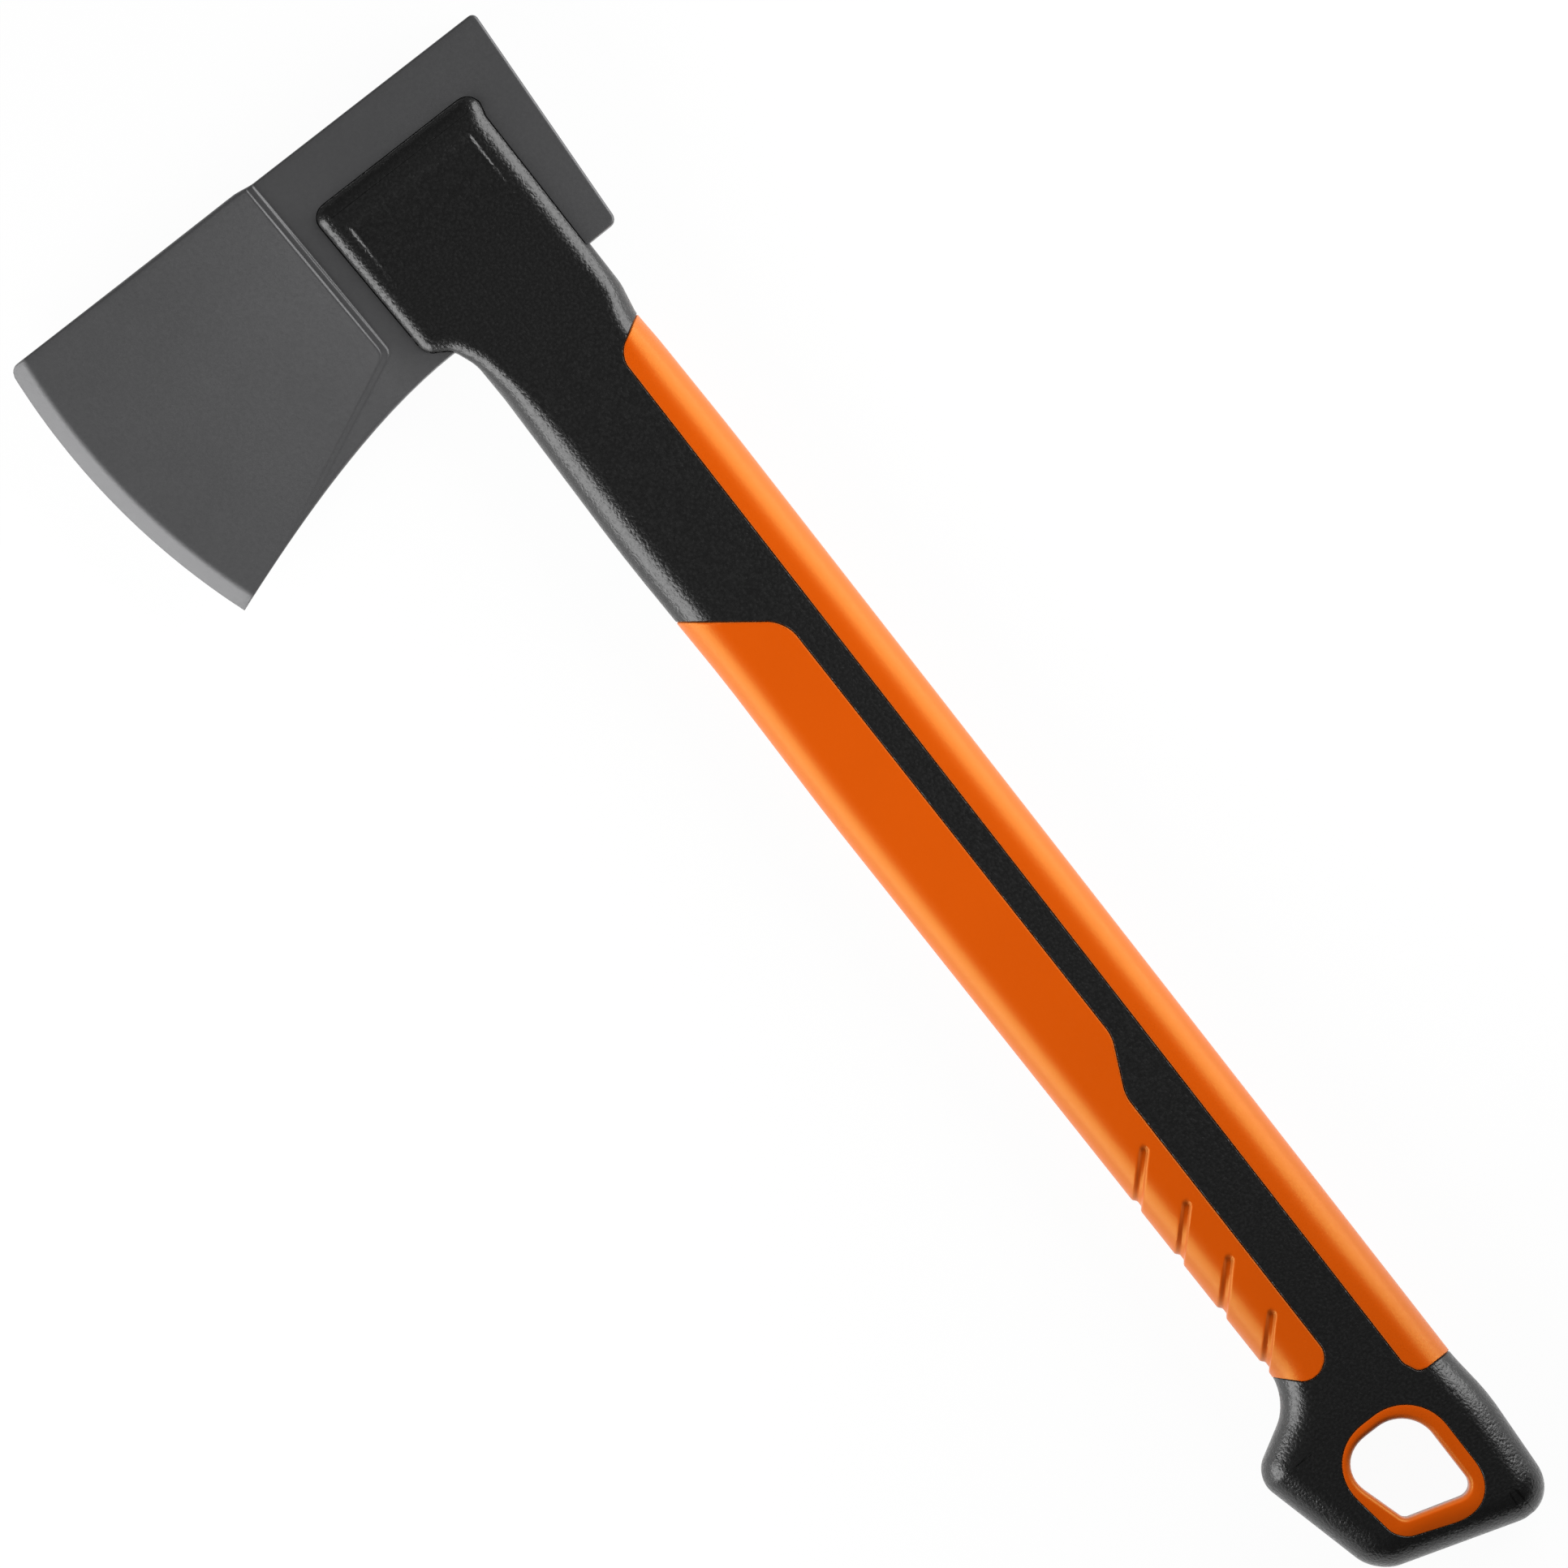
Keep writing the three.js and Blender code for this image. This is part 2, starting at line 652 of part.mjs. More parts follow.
function handleSolid() {
  const between = (low, high) => [
    new THREE.Vector2(low, -cutterReach),
    new THREE.Vector2(high, -cutterReach),
    new THREE.Vector2(high, cutterReach),
    new THREE.Vector2(low, cutterReach),
  ];
  const hollow = prism(between(hollowStart, fromEnd(hollowEnd))).intersect(handleForm(wallThickness));
  const port = portRod(portRadius, fromEnd(hollowEnd) - portOverlap, fromEnd(holeLeft));
  const cutters = [
    webRoom(),
    panelCutter(1),
    panelCutter(-1),
    insetRoom(bellyRegion(), gripSeat),
    insetRoom(backRegion(), gripSeat),
    insetRoom(faceOutline(), handleForm(linerFlange + mouldGap)),
    prism(growOutline(holeOutline(), linerWall + mouldGap)),
    hollow,
    port,
  ];
  return cutters.reduce((solid, cutter) => solid.subtract(cutter), outerForm);
}

const axe = new THREE.Group();
axe.add(
  meshFrom("axe_head", headSolid(), steel),
  meshFrom("handle_body", handleSolid(), nylon),
  meshFrom("belly_grip", inset(bellyRegion(), gripCore).subtract(grooveCutters()), softOrange),
  meshFrom("back_grip", inset(backRegion(), gripCore), softOrange),
  meshFrom("hang_hole_liner", linerSolid(), softOrange),
);

// The origin is at the bottom centre of the axe's box
const box = new THREE.Box3().setFromObject(axe);
const middle = box.getCenter(new THREE.Vector3());
axe.position.set(-middle.x, -middle.y, -box.min.z);

const part = new THREE.Group();
part.add(axe);
export default part;
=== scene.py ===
# A felling axe that lies on its side: a forged and coated steel head, moulded into a nylon handle
# with soft grips and a lined hang hole. Its pieces are modelled in millimetres, with X from the top
# of the head, Y from the handle's centre line and Z from the middle plane, and move to their place
# in the CAD frame when they are finished.
import math
from bisect import bisect_left

import bmesh
import bpy
from mathutils import Matrix, Vector


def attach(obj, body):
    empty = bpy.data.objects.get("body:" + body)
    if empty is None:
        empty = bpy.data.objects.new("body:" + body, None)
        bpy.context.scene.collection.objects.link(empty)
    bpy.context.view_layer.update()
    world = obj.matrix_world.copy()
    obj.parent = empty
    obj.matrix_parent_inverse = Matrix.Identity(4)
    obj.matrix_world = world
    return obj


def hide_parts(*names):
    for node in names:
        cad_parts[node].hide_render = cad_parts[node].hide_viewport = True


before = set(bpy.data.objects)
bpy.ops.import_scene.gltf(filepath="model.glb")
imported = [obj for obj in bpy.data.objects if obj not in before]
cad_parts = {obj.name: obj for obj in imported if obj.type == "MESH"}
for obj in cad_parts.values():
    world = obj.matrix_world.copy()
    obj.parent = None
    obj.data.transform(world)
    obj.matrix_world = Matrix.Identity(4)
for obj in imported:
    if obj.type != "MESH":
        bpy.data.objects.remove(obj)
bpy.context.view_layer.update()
print("CAD frame loaded:", ", ".join(sorted(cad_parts)))

millimetre = 0.001
frameOrigin = (-301, 54.24, 14)  # of the modelling space, in the CAD frame
toFrame = Matrix.Translation(Vector(frameOrigin) * millimetre) @ Matrix.Scale(millimetre, 4)
quarterTurn = math.pi / 2
mouldGap = 0.15  # between a moulding and what it is moulded on
pocketGap = 0.3  # between the pads and the steel round them
webHalf = 3.5  # half thickness of the head's web
farOut = 60  # past the handle's sides
halvings = 40  # of a stretch, to find a point on it
weldDistance = 1e-4
creaseAngle = 32  # edges that turn more than this look sharp
noiseRange = (0.3, 0.7)  # nearly all of a noise's values lie between these


# Numbers and outlines
def mix(a, b, share):
    return a + (b - a) * share


def smoothStep(value, low, high):
    share = min(max((value - low) / (high - low), 0), 1)
    return share * share * (3 - 2 * share)


def smoothRun(stations, value):  # stations are (place, value) pairs, and the run is level at each
    for (fromPlace, fromValue), (toPlace, toValue) in zip(stations, stations[1:]):
        if value < toPlace:
            return mix(fromValue, toValue, smoothStep(value, fromPlace, toPlace))
    return stations[-1][1]


def roundedOutline(corners, arcStep=5, segments=None):
    # Corners are x, y and fillet radius. The outline starts where the first corner's arc does.
    bm = bmesh.new()
    points = [Vector((x, y, 0)) for x, y, _ in corners]
    verts = [bm.verts.new(point) for point in points]
    bm.faces.new(verts)
    start = points[0]
    for k, (vert, point) in enumerate(zip(verts, points)):
        before = points[k - 1] - point
        after = points[(k + 1) % len(points)] - point
        half = before.angle(after) / 2
        room = 0.499 * min(before.length, after.length)  # its neighbour's arc needs the other half
        offset = min(corners[k][2] / math.tan(half), room)
        if offset < 0.01:
            continue
        if k == 0:
            start = point + before.normalized() * offset
        steps = segments or max(2, round(math.degrees(math.pi - 2 * half) / arcStep))
        bmesh.ops.bevel(bm, geom=[vert], offset=offset, offset_type="OFFSET", affect="VERTICES",
                        segments=steps, profile=0.5, material=-1)
    bm.faces.ensure_lookup_table()
    outline = [loop.vert.co.copy() for loop in bm.faces[0].loops]
    bm.free()
    first = min(range(len(outline)), key=lambda k: (outline[k] - start).length)
    return [point.to_2d() for point in outline[first:] + outline[:first]]


def inwardNormals(outline):  # of a counterclockwise outline, longer at corners so offsets stay parallel
    normals = []
    for k, here in enumerate(outline):
        before = (here - outline[k - 1]).orthogonal().normalized()
        after = (outline[(k + 1) % len(outline)] - here).orthogonal().normalized()
        normal = (before + after).normalized()
        normals.append(normal / max(0.5, normal.dot(after)))
    return normals


def grown(outline, distance):
    return [point - normal * distance for point, normal in zip(outline, inwardNormals(outline))]


# Mesh tools
def gridSheet(bm, rowCount, columnCount, place):
    # A grid whose vertices go where place(row, column) says, returned as rows of vertices
    verts = bmesh.ops.create_grid(bm, x_segments=columnCount - 1, y_segments=rowCount - 1, size=1)["verts"]
    rows = [verts[k * columnCount:(k + 1) * columnCount] for k in range(rowCount)]
    for j, row in enumerate(rows):
        for i, vert in enumerate(row):
            vert.co = place(j, i)
    return rows


def rimOf(rows):  # the border of a grid, in order
    right = [row[-1] for row in rows[1:-1]]
    left = [row[0] for row in rows[-2:0:-1]]
    return list(rows[0]) + right + list(rows[-1])[::-1] + left


def extrudeRim(bm, rim, points):
    # The rim is extruded and its copy goes onto the new points
    edges = [bm.edges.get(pair) for pair in zip(rim, rim[1:] + rim[:1])]
    made = bmesh.ops.extrude_edge_only(bm, edges=edges)["geom"]
    fresh = {item for item in made if isinstance(item, bmesh.types.BMVert)}
    copies = [next(edge.other_vert(vert) for edge in vert.link_edges if edge.other_vert(vert) in fresh)
              for vert in rim]
    for copy, point in zip(copies, points):
        copy.co = point
    return copies


def startRim(bm, points):  # a closed wire through the points, to extrude from
    verts = [bm.verts.new(point) for point in points]
    for pair in zip(verts, verts[1:] + verts[:1]):
        bm.edges.new(pair)
    return verts


def mirrorDown(bm, mergeDistance=weldDistance):
    everything = bm.verts[:] + bm.edges[:] + bm.faces[:]
    bmesh.ops.mirror(bm, geom=everything, matrix=Matrix.Identity(4), merge_dist=mergeDistance, axis="Z")


def makeObject(name, bm):
    bmesh.ops.recalc_face_normals(bm, faces=bm.faces)
    bm.transform(toFrame)
    mesh = bpy.data.meshes.new(name)
    bm.to_mesh(mesh)
    bm.free()
    piece = bpy.data.objects.new(name, mesh)
    bpy.context.scene.collection.objects.link(piece)
    return piece


def cut(piece, *cutters):
    # Takes the cutters out of the piece for good, and deletes them
    for cutter in cutters:
        boolean = piece.modifiers.new("cut", "BOOLEAN")
        boolean.operation = "DIFFERENCE"
        boolean.solver = "MANIFOLD"
        boolean.object = cutter
    graph = bpy.context.evaluated_depsgraph_get()
    mesh = bpy.data.meshes.new_from_object(piece.evaluated_get(graph))
    piece.modifiers.clear()
    mesh.name = piece.name
    piece.data = mesh
    for cutter in cutters:
        bpy.data.meshes.remove(cutter.data)


def finishPiece(piece, node, material):
    piece.data.materials.clear()
    piece.data.materials.append(material)
    piece.data.shade_smooth()
    piece.data.set_sharp_from_angle(angle=math.radians(creaseAngle))
    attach(piece, "root")
    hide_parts(node)
    print(f"{piece.name}: {len(piece.data.polygons)} faces")


# Materials
def linear(hexColour):
    channels = [int(hexColour[k:k + 2], 16) / 255 for k in (1, 3, 5)]
    values = [c / 12.92 if c <= 0.04045 else ((c + 0.055) / 1.055) ** 2.4 for c in channels]
    return (*values, 1)


def addNode(tree, kind, sockets=None, **settings):
    node = tree.nodes.new(kind)
    for name, value in settings.items():
        setattr(node, name, value)
    for socket, value in (sockets or {}).items():
        if isinstance(value, bpy.types.NodeSocket):
            tree.links.new(value, node.inputs[socket])
        else:
            node.inputs[socket].default_value = value
    return node


def newMaterial(name):
    material = bpy.data.materials.new(name)
    material.use_nodes = True
    material.node_tree.nodes.clear()
    return material, material.node_tree


# Fibre-filled nylon moulded in a spark-eroded tool: near black, with a fine grain of rounded pits
# that glitters where light grazes it
def sparkErodedNylon():
    look = {
        "nylon": "#101010",
        "fibreBloom": "#141414",
        "bloomSize": 9,
        "grainSize": 1.0,  # the real grain is half this, too fine to show
        "grainDepth": 0.2,
        "roughness": (0.26, 0.4),
        "sheen": 0.4,
        "sheenRoughness": 0.3,
    }
    material, tree = newMaterial("spark_eroded_nylon")
    place = addNode(tree, "ShaderNodeTexCoord").outputs["Object"]
    bloom = addNode(tree, "ShaderNodeTexNoise", {
        "Vector": place, "Scale": 1 / (look["bloomSize"] * millimetre), "Detail": 5, "Roughness": 0.65})
    tone = addNode(tree, "ShaderNodeMix", {
        "Factor": bloom.outputs["Fac"], "A": linear(look["nylon"]), "B": linear(look["fibreBloom"])},
        data_type="RGBA")
    grain = addNode(tree, "ShaderNodeTexNoise", {
        "Vector": place, "Scale": 1 / (look["grainSize"] * millimetre), "Detail": 1, "Roughness": 0.5})
    rough = addNode(tree, "ShaderNodeMapRange", {
        "Value": grain.outputs["Fac"], "From Min": noiseRange[0], "From Max": noiseRange[1],
        "To Min": look["roughness"][0], "To Max": look["roughness"][1]})
    bump = addNode(tree, "ShaderNodeBump", {"Height": grain.outputs["Fac"], "Strength": 1,
                                            "Distance": look["grainDepth"] * millimetre})
    shader = addNode(tree, "ShaderNodeBsdfPrincipled", {
        "Base Color": tone.outputs["Result"], "Roughness": rough.outputs["Result"],
        "Normal": bump.outputs["Normal"], "IOR": 1.55,
        "Sheen Weight": look["sheen"], "Sheen Roughness": look["sheenRoughness"]})
    addNode(tree, "ShaderNodeOutputMaterial", {"Surface": shader.outputs["BSDF"]})
    return material


# Thermoplastic rubber moulded over the nylon: saturated orange, with a soft eggshell surface
def overmouldedRubber():
    look = {
        "orange": "#d15004",
        "paleOrange": "#d75405",
        "paintedSheen": "#c36327",  # painted sheen: a paler, yellower orange painted on where the surface is seen at a slant
        "paintedSheenSlant": 0.4,  # the slant from which the painted sheen is whole
        "gloss": "#f0ea74",  # light glances off the pigment too, so highlights are warm
        "cloudSize": 34,
        "grainSize": 0.9,
        "grainDepth": 0.03,
        "roughness": (0.31, 0.41),
    }
    material, tree = newMaterial("overmoulded_rubber")
    place = addNode(tree, "ShaderNodeTexCoord").outputs["Object"]
    cloud = addNode(tree, "ShaderNodeTexNoise", {
        "Vector": place, "Scale": 1 / (look["cloudSize"] * millimetre), "Detail": 3, "Roughness": 0.5})
    tone = addNode(tree, "ShaderNodeMix", {
        "Factor": cloud.outputs["Fac"], "A": linear(look["orange"]), "B": linear(look["paleOrange"])},
        data_type="RGBA")
    # Painted sheen: the colour is blended to a paler orange where the surface is seen at a slant, standing
    # in for the colour of its highlights
    slant = addNode(tree, "ShaderNodeLayerWeight", {"Blend": 0.5}).outputs["Facing"]
    paintedSheen = addNode(tree, "ShaderNodeMapRange", {"Value": slant, "From Max": look["paintedSheenSlant"]})
    tone = addNode(tree, "ShaderNodeMix", {
        "Factor": paintedSheen.outputs["Result"], "A": tone.outputs["Result"], "B": linear(look["paintedSheen"])},
        data_type="RGBA")
    grain = addNode(tree, "ShaderNodeTexNoise", {
        "Vector": place, "Scale": 1 / (look["grainSize"] * millimetre), "Detail": 2, "Roughness": 0.5})
    rough = addNode(tree, "ShaderNodeMapRange", {
        "Value": grain.outputs["Fac"], "From Min": noiseRange[0], "From Max": noiseRange[1],
        "To Min": look["roughness"][0], "To Max": look["roughness"][1]})
    bump = addNode(tree, "ShaderNodeBump", {"Height": grain.outputs["Fac"], "Strength": 1,
                                            "Distance": look["grainDepth"] * millimetre})
    shader = addNode(tree, "ShaderNodeBsdfPrincipled", {
        "Base Color": tone.outputs["Result"], "Roughness": rough.outputs["Result"],
        "Specular Tint": linear(look["gloss"]), "Normal": bump.outputs["Normal"]})
    addNode(tree, "ShaderNodeOutputMaterial", {"Surface": shader.outputs["BSDF"]})
    return material


blackNylon = sparkErodedNylon()
softOrange = overmouldedRubber()


# The handle's form, which the pads, the shank, the grips and the knob share
handle = {
    "length": 602,
    "padTop": 20.5,
    # Corners of the outline: x, y and fillet, along the front, round the knob and back
    "corners": [
        (20.5, -40.7, 5.4), (79.7, -38.7, 5.4), (84.5, -30.8, 6), (92.7, -27.6, 14),
        (107.7, -27.2, 60), (171.7, -28.3, 500), (224.7, -27, 300), (280.7, -27.5, 600),
        (523, -24.8, 17), (537.3, -50.1, 9.5), (586.4, -37.64, 15), (606.3, 25, 12.6),
        (562, 27.6, 60), (545, 25.9, 60), (160.7, 25.4, 600), (122.7, 24.7, 60),
        (111.7, 24.1, 16), (100.7, 26.2, 16), (20.5, 26, 5.4),
    ],
    "halfThickness": [(87.7, 14), (150, 13), (300, 12.2), (457, 13.2), (547.7, 14)],
    "roundWidth": [(83.7, 5.3), (135.7, 11), (492, 11), (527, 10.5)],
    "padRoundHeight": 4,
    # The pad's border is rounded wider and deeper along its poll side
    "padBackWiden": 2.2,
    "padBackDeepen": 3,
    "padBackSide": (8, 25),  # the y between which that comes in
    "padBackStart": (25, 31),  # and the x, past the pad's corner
    "padBackStop": (84, 104),  # and between which it goes again
    "leastRound": 0.5,  # width and height of a rounding
    "fullRoundFrom": 83.7,
    "fullRoundAt": 110.7,
    "band": 1.5,  # half height of the upright band in the middle of a rounded side
    "crown": [(112, 0), (160, 1.1), (480, 1.1), (522, 0)],  # the broad faces are slightly arched
    "crownBase": 0.45,
    "roundSteps": 12,
    "pocketSteps": 6,  # of the same rounding, in the steel's pockets for the pads
    "webRoom": (-5, 84),  # the x between which it is open for the head's web
    "stationStep": 4,
    "stationGap": 0.12,
    # Rows of the flat faces, by their y at the pad
    "rows": [-35.4, -34, -33.4, -33, -32.6, -32.2, -31.8, -31, -29, -25, -21, -17, -13, -9, -5, -1, 3, 7,
             11, 14, 15.4, 16, 16.5, 16.9, 17.2, 17.5, 17.8, 18.1, 18.5],
}
panel = {
    "start": 30.2, "slope": 4, "run": 33, "low": -32.8, "high": 16.8, "wall": 1.3, "depth": 0.8,
    "fineStep": 0.5,  # between stations round its start
}


def halfThickness(x):
    return smoothRun(handle["halfThickness"], x)


def roundWidth(x):
    return smoothRun(handle["roundWidth"], x)


def roundHeight(x):
    full = halfThickness(x) - handle["band"]
    stations = [(handle["fullRoundFrom"], handle["padRoundHeight"]), (handle["fullRoundAt"], full)]
    return smoothRun(stations, x)


def alongSide(side, x):  # side is a run of points in the order of their x
    k = min(max(bisect_left(side, x, key=lambda point: point.x), 1), len(side) - 1)
    a, b = side[k - 1], side[k]
    share = min(max((x - a.x) / (b.x - a.x), 0), 1) if b.x > a.x else 1
    return Vector((x, mix(a.y, b.y, share)))


def handleStations(outline):
    wanted = [point.x for point in outline]
    stationCount = int(handle["length"] / handle["stationStep"])
    firstStation = math.ceil(handle["padTop"] / handle["stationStep"])
    wanted += [k * handle["stationStep"] for k in range(firstStation, stationCount)]
    wanted += [panel["start"] + panel["fineStep"] * k for k in range(-2, 12)]
    stations = [handle["padTop"]]
    for x in sorted(wanted):
        if x - stations[-1] > handle["stationGap"] and handle["length"] - x > handle["stationGap"]:
            stations.append(x)
    return stations + [handle["length"]]


handleOutline = roundedOutline(handle["corners"])
tipIndex = max(range(len(handleOutline)), key=lambda k: handleOutline[k].x)
stations = handleStations(handleOutline)
frontLine = [alongSide(handleOutline[:tipIndex + 1], x) for x in stations]
backLine = [alongSide(handleOutline[tipIndex:][::-1], x) for x in stations]
lowRow, highRow = handle["rows"][0], handle["rows"][-1]
shares = [(y - lowRow) / (highRow - lowRow) for y in handle["rows"]]
tipLine = [frontLine[-1].lerp(backLine[-1], share) for share in shares[1:-1]]
padLine = [frontLine[0].lerp(backLine[0], share) for share in shares[-2:0:-1]]
rimLine = frontLine + tipLine + backLine[::-1] + padLine
rimNormals = inwardNormals(rimLine)
backFrom = len(stations) + len(tipLine)
backTo = backFrom + len(stations)
frontNormals = rimNormals[:len(stations)]
backNormals = rimNormals[backFrom:backTo][::-1]


def crownAt(x, y):  # how far the arched face stands over the plain one
    front, back = alongSide(frontLine, x).y, alongSide(backLine, x).y
    share = (2 * y - front - back) / (back - front)
    return smoothRun(handle["crown"], x) * (1 - handle["crownBase"] - share * share)


def formPoint(k, angle, depth):
    # A point of the handle's rounded side, at an angle from its upright band, drawn in by a depth
    x = rimLine[k].x
    onPadBack = smoothStep(rimLine[k].y, *handle["padBackSide"]) * smoothStep(x, *handle["padBackStart"])
    onPadBack *= 1 - smoothStep(x, *handle["padBackStop"])
    width = max(handle["leastRound"], roundWidth(x) + handle["padBackWiden"] * onPadBack - depth)
    rise = max(handle["leastRound"], roundHeight(x) + handle["padBackDeepen"] * onPadBack - depth)
    plan = rimLine[k] + rimNormals[k] * (depth + width * (1 - math.cos(angle)))
    z = halfThickness(x) - depth - rise * (1 - math.sin(angle))
    return Vector((plan.x, plan.y, z + crownAt(x, plan.y) * math.sin(angle)))


def panelSink(x, y):  # how far the pad's panel is sunk
    inX = smoothStep(x, panel["start"], panel["start"] + panel["slope"])
    fade = max(0, 1 - (x - panel["start"]) / panel["run"])
    inY = smoothStep(y, panel["low"] - panel["wall"] / 2, panel["low"] + panel["wall"] / 2)
    inY -= smoothStep(y, panel["high"] - panel["wall"] / 2, panel["high"] + panel["wall"] / 2)
    return panel["depth"] * inX * fade * inY


def handleHalf(bm, steps, depth=0.0, floor=0.0, sunk=True):
    # The form's upper half, down to a floor
    caps = [formPoint(k, quarterTurn, depth) for k in range(len(rimLine))]
    front, back = caps[:len(stations)], caps[backFrom:backTo][::-1]

    def place(row, column):
        point = front[column].lerp(back[column], shares[row])
        if 0 < row < len(shares) - 1:
            point.z = halfThickness(point.x) - depth + crownAt(point.x, point.y)
        if sunk:
            point.z -= panelSink(point.x, point.y)
        return point

    rim = rimOf(gridSheet(bm, len(shares), len(stations), place))
    for k in range(steps - 1, -1, -1):
        rim = extrudeRim(bm, rim, [formPoint(i, quarterTurn * k / steps, depth) for i in range(len(rim))])
    return extrudeRim(bm, rim, [Vector((vert.co.x, vert.co.y, floor)) for vert in rim])


def sideSpot(line, normals, x):  # a point of the front or back line, with its inward normal
    k = min(max(bisect_left(stations, x), 1), len(stations) - 1)
    share = (x - stations[k - 1]) / (stations[k] - stations[k - 1])
    return line[k - 1].lerp(line[k], share), normals[k - 1].lerp(normals[k], share)


def surfaceSpot(line, normals, x, y):
    # The handle's upper surface over a plan point: the point, and the outward normal
    base, inward = sideSpot(line, normals, x)
    width, rise = roundWidth(x), roundHeight(x)
    cosine = min(max(1 - (Vector((x, y)) - base).dot(inward) / width, 0), 1)
    sine = math.sqrt(1 - cosine * cosine)
    normal = Vector((-inward.x * cosine / width, -inward.y * cosine / width, sine / rise))
    z = halfThickness(x) - rise * (1 - sine) + crownAt(x, y) * sine
    return Vector((x, y, z)), normal.normalized()


# The soft grips: sheets that wrap round one side of the handle, from border to border
belly = {
    "border": [(175, -farOut, 0), (221.3, 0.8, 12), (394, 1.9, 12), (412, -6.6, 12), (519.6, -6.4, 6.5),
               (524.7, -15, 7), (479, -farOut, 0)],
    "ribStep": 3,
    "fineRibStep": 0.5,  # where the ribs run along the finger grooves
    "slantedPart": (416, 492),
    "rows": 50,
}
back = {
    "border": [(92, farOut, 0), (119.2, 11.3, 8), (537, 11.5, 4), (542.8, 14.2, 3.5), (544.5, farOut, 0)],
    "ribStep": 3,
    "rows": 20,
}
grooves = {
    "starts": [430.2, 452.9, 475.6, 498.3],
    "top": -12.9,
    "halfWidth": 1.9,
    "floorShare": 0.3,  # of the half width is flat
    "depth": 1.15,
}
gripThickness = 2.5
roomFlare = 0.9  # above the surface, a room is this much wider
roomRows = 16
gripRim = [(-0.55, -0.12), (-0.2, 0), (0, 0.4), (0, gripThickness)]  # each level's growth and depth
roomRim = [(mouldGap + roomFlare, -0.6), (mouldGap, 0.3), (mouldGap, gripThickness + mouldGap)]


def grooveSink(x, y):  # slanting grooves with round ends and flat floors
    sink = 0
    for start in grooves["starts"]:
        offset = Vector((x - start, y - grooves["top"]))
        along = max(0, (offset.x - offset.y) / math.sqrt(2))
        nearest = Vector((along, -along)) / math.sqrt(2)
        distance = (offset - nearest).length / grooves["halfWidth"]
        sink = max(sink, grooves["depth"] * (1 - smoothStep(distance, grooves["floorShare"], 1)))
    return sink


def gripSheet(spec, line, normals, fine=True):
    # Rows of surface spots and their normals, along ribs from the handle's side up to the border
    outline = roundedOutline(spec["border"], arcStep=6)
    path = outline[1:-1]  # from the first arc to the last

    def sideCrossing(outer, inner):  # where a slanting line meets the handle's side
        low, high = 0.0, 1.0
        for _ in range(halvings):
            middle = (low + high) / 2
            point = inner.lerp(outer, middle)
            base, inward = sideSpot(line, normals, point.x)
            low, high = (middle, high) if (point - base).dot(inward) > 0 else (low, middle)
        return inner.lerp(outer, low).x

    border = [path[0]]
    lengths = [0.0]
    slanted = spec.get("slantedPart", (0, 0))
    for a, b in zip(path, path[1:]):
        step = spec["fineRibStep"] if fine and max(a.x, b.x) > slanted[0] > 0 else spec["ribStep"]
        pieces = max(1, math.ceil((b - a).length / step))
        for k in range(pieces):
            border.append(a.lerp(b, (k + 1) / pieces))
            lengths.append(lengths[-1] + (b - a).length / pieces)
    feet = [(0, sideCrossing(outline[0], path[0]))]
    for point, length in zip(border, lengths):
        if slanted[0] < point.x < slanted[1]:
            feet.append((length, sideCrossing(point + Vector((farOut, -farOut)), point)))
    feet.append((lengths[-1], sideCrossing(outline[-1], path[-1])))
    rowCount = spec["rows"] if fine else roomRows
    upper = []
    for point, length in zip(border, lengths):
        k = next(k for k in range(1, len(feet)) if length <= feet[k][0] or k == len(feet) - 1)
        (fromLength, fromX), (toLength, toX) = feet[k - 1:k + 1]
        foot = sideSpot(line, normals, mix(fromX, toX, (length - fromLength) / (toLength - fromLength)))[0]
        base, inward = sideSpot(line, normals, point.x)
        reach = (point - base).dot(inward)
        width = roundWidth(point.x)
        arc = quarterTurn * (width + roundHeight(point.x)) / 2
        total = arc + reach - width
        if reach < width:
            total = arc * math.acos(1 - reach / width) / quarterTurn
        rib = []
        for j in range(rowCount + 1):
            run = total * j / rowCount
            inset = width * (1 - math.cos(quarterTurn * run / arc)) if run < arc else width + run - arc
            plan = foot.lerp(point, inset / reach)
            rib.append(surfaceSpot(line, normals, plan.x, plan.y))
        upper.append(rib)
    flip = Vector((1, 1, -1))
    rows = [[rib[k] for rib in upper] for k in range(rowCount, -1, -1)]
    return rows + [[(point * flip, normal * flip) for point, normal in row] for row in rows[::-1]]


def wrappedSolid(name, rows, levels, sink=None):
    # A closed solid between two sheets, with its border shaped by the levels from the outside in
    rim = rimOf(rows)
    outward = []
    for k, (point, normal) in enumerate(rim):
        tangent = rim[(k + 1) % len(rim)][0] - rim[k - 1][0]
        outward.append(tangent.cross(normal).normalized())
    middle = len(rows[0]) // 2
    if outward[middle].dot(rows[0][middle][0] - rows[1][middle][0]) < 0:
        outward = [-direction for direction in outward]

    def level(grow, depth):
        return [point + out * grow - normal * depth for (point, normal), out in zip(rim, outward)]

    def sheet(depth, carved):
        def place(row, column):
            point, normal = rows[row][column]
            carve = sink(point.x, point.y) if carved and sink else 0
            return point - normal * (depth + carve)
        return rimOf(gridSheet(bm, len(rows), len(rows[0]), place))

    bm = bmesh.new()
    ring = sheet(levels[0][1], True)
    for vert, point in zip(ring, level(*levels[0])):
        vert.co = point
    for pair in levels[1:]:
        ring = extrudeRim(bm, ring, level(*pair))
    inner = sheet(levels[-1][1], False)
    for vert, point in zip(inner, level(*levels[-1])):
        vert.co = point
    bmesh.ops.remove_doubles(bm, verts=ring + inner, dist=weldDistance)
    return makeObject(name, bm)


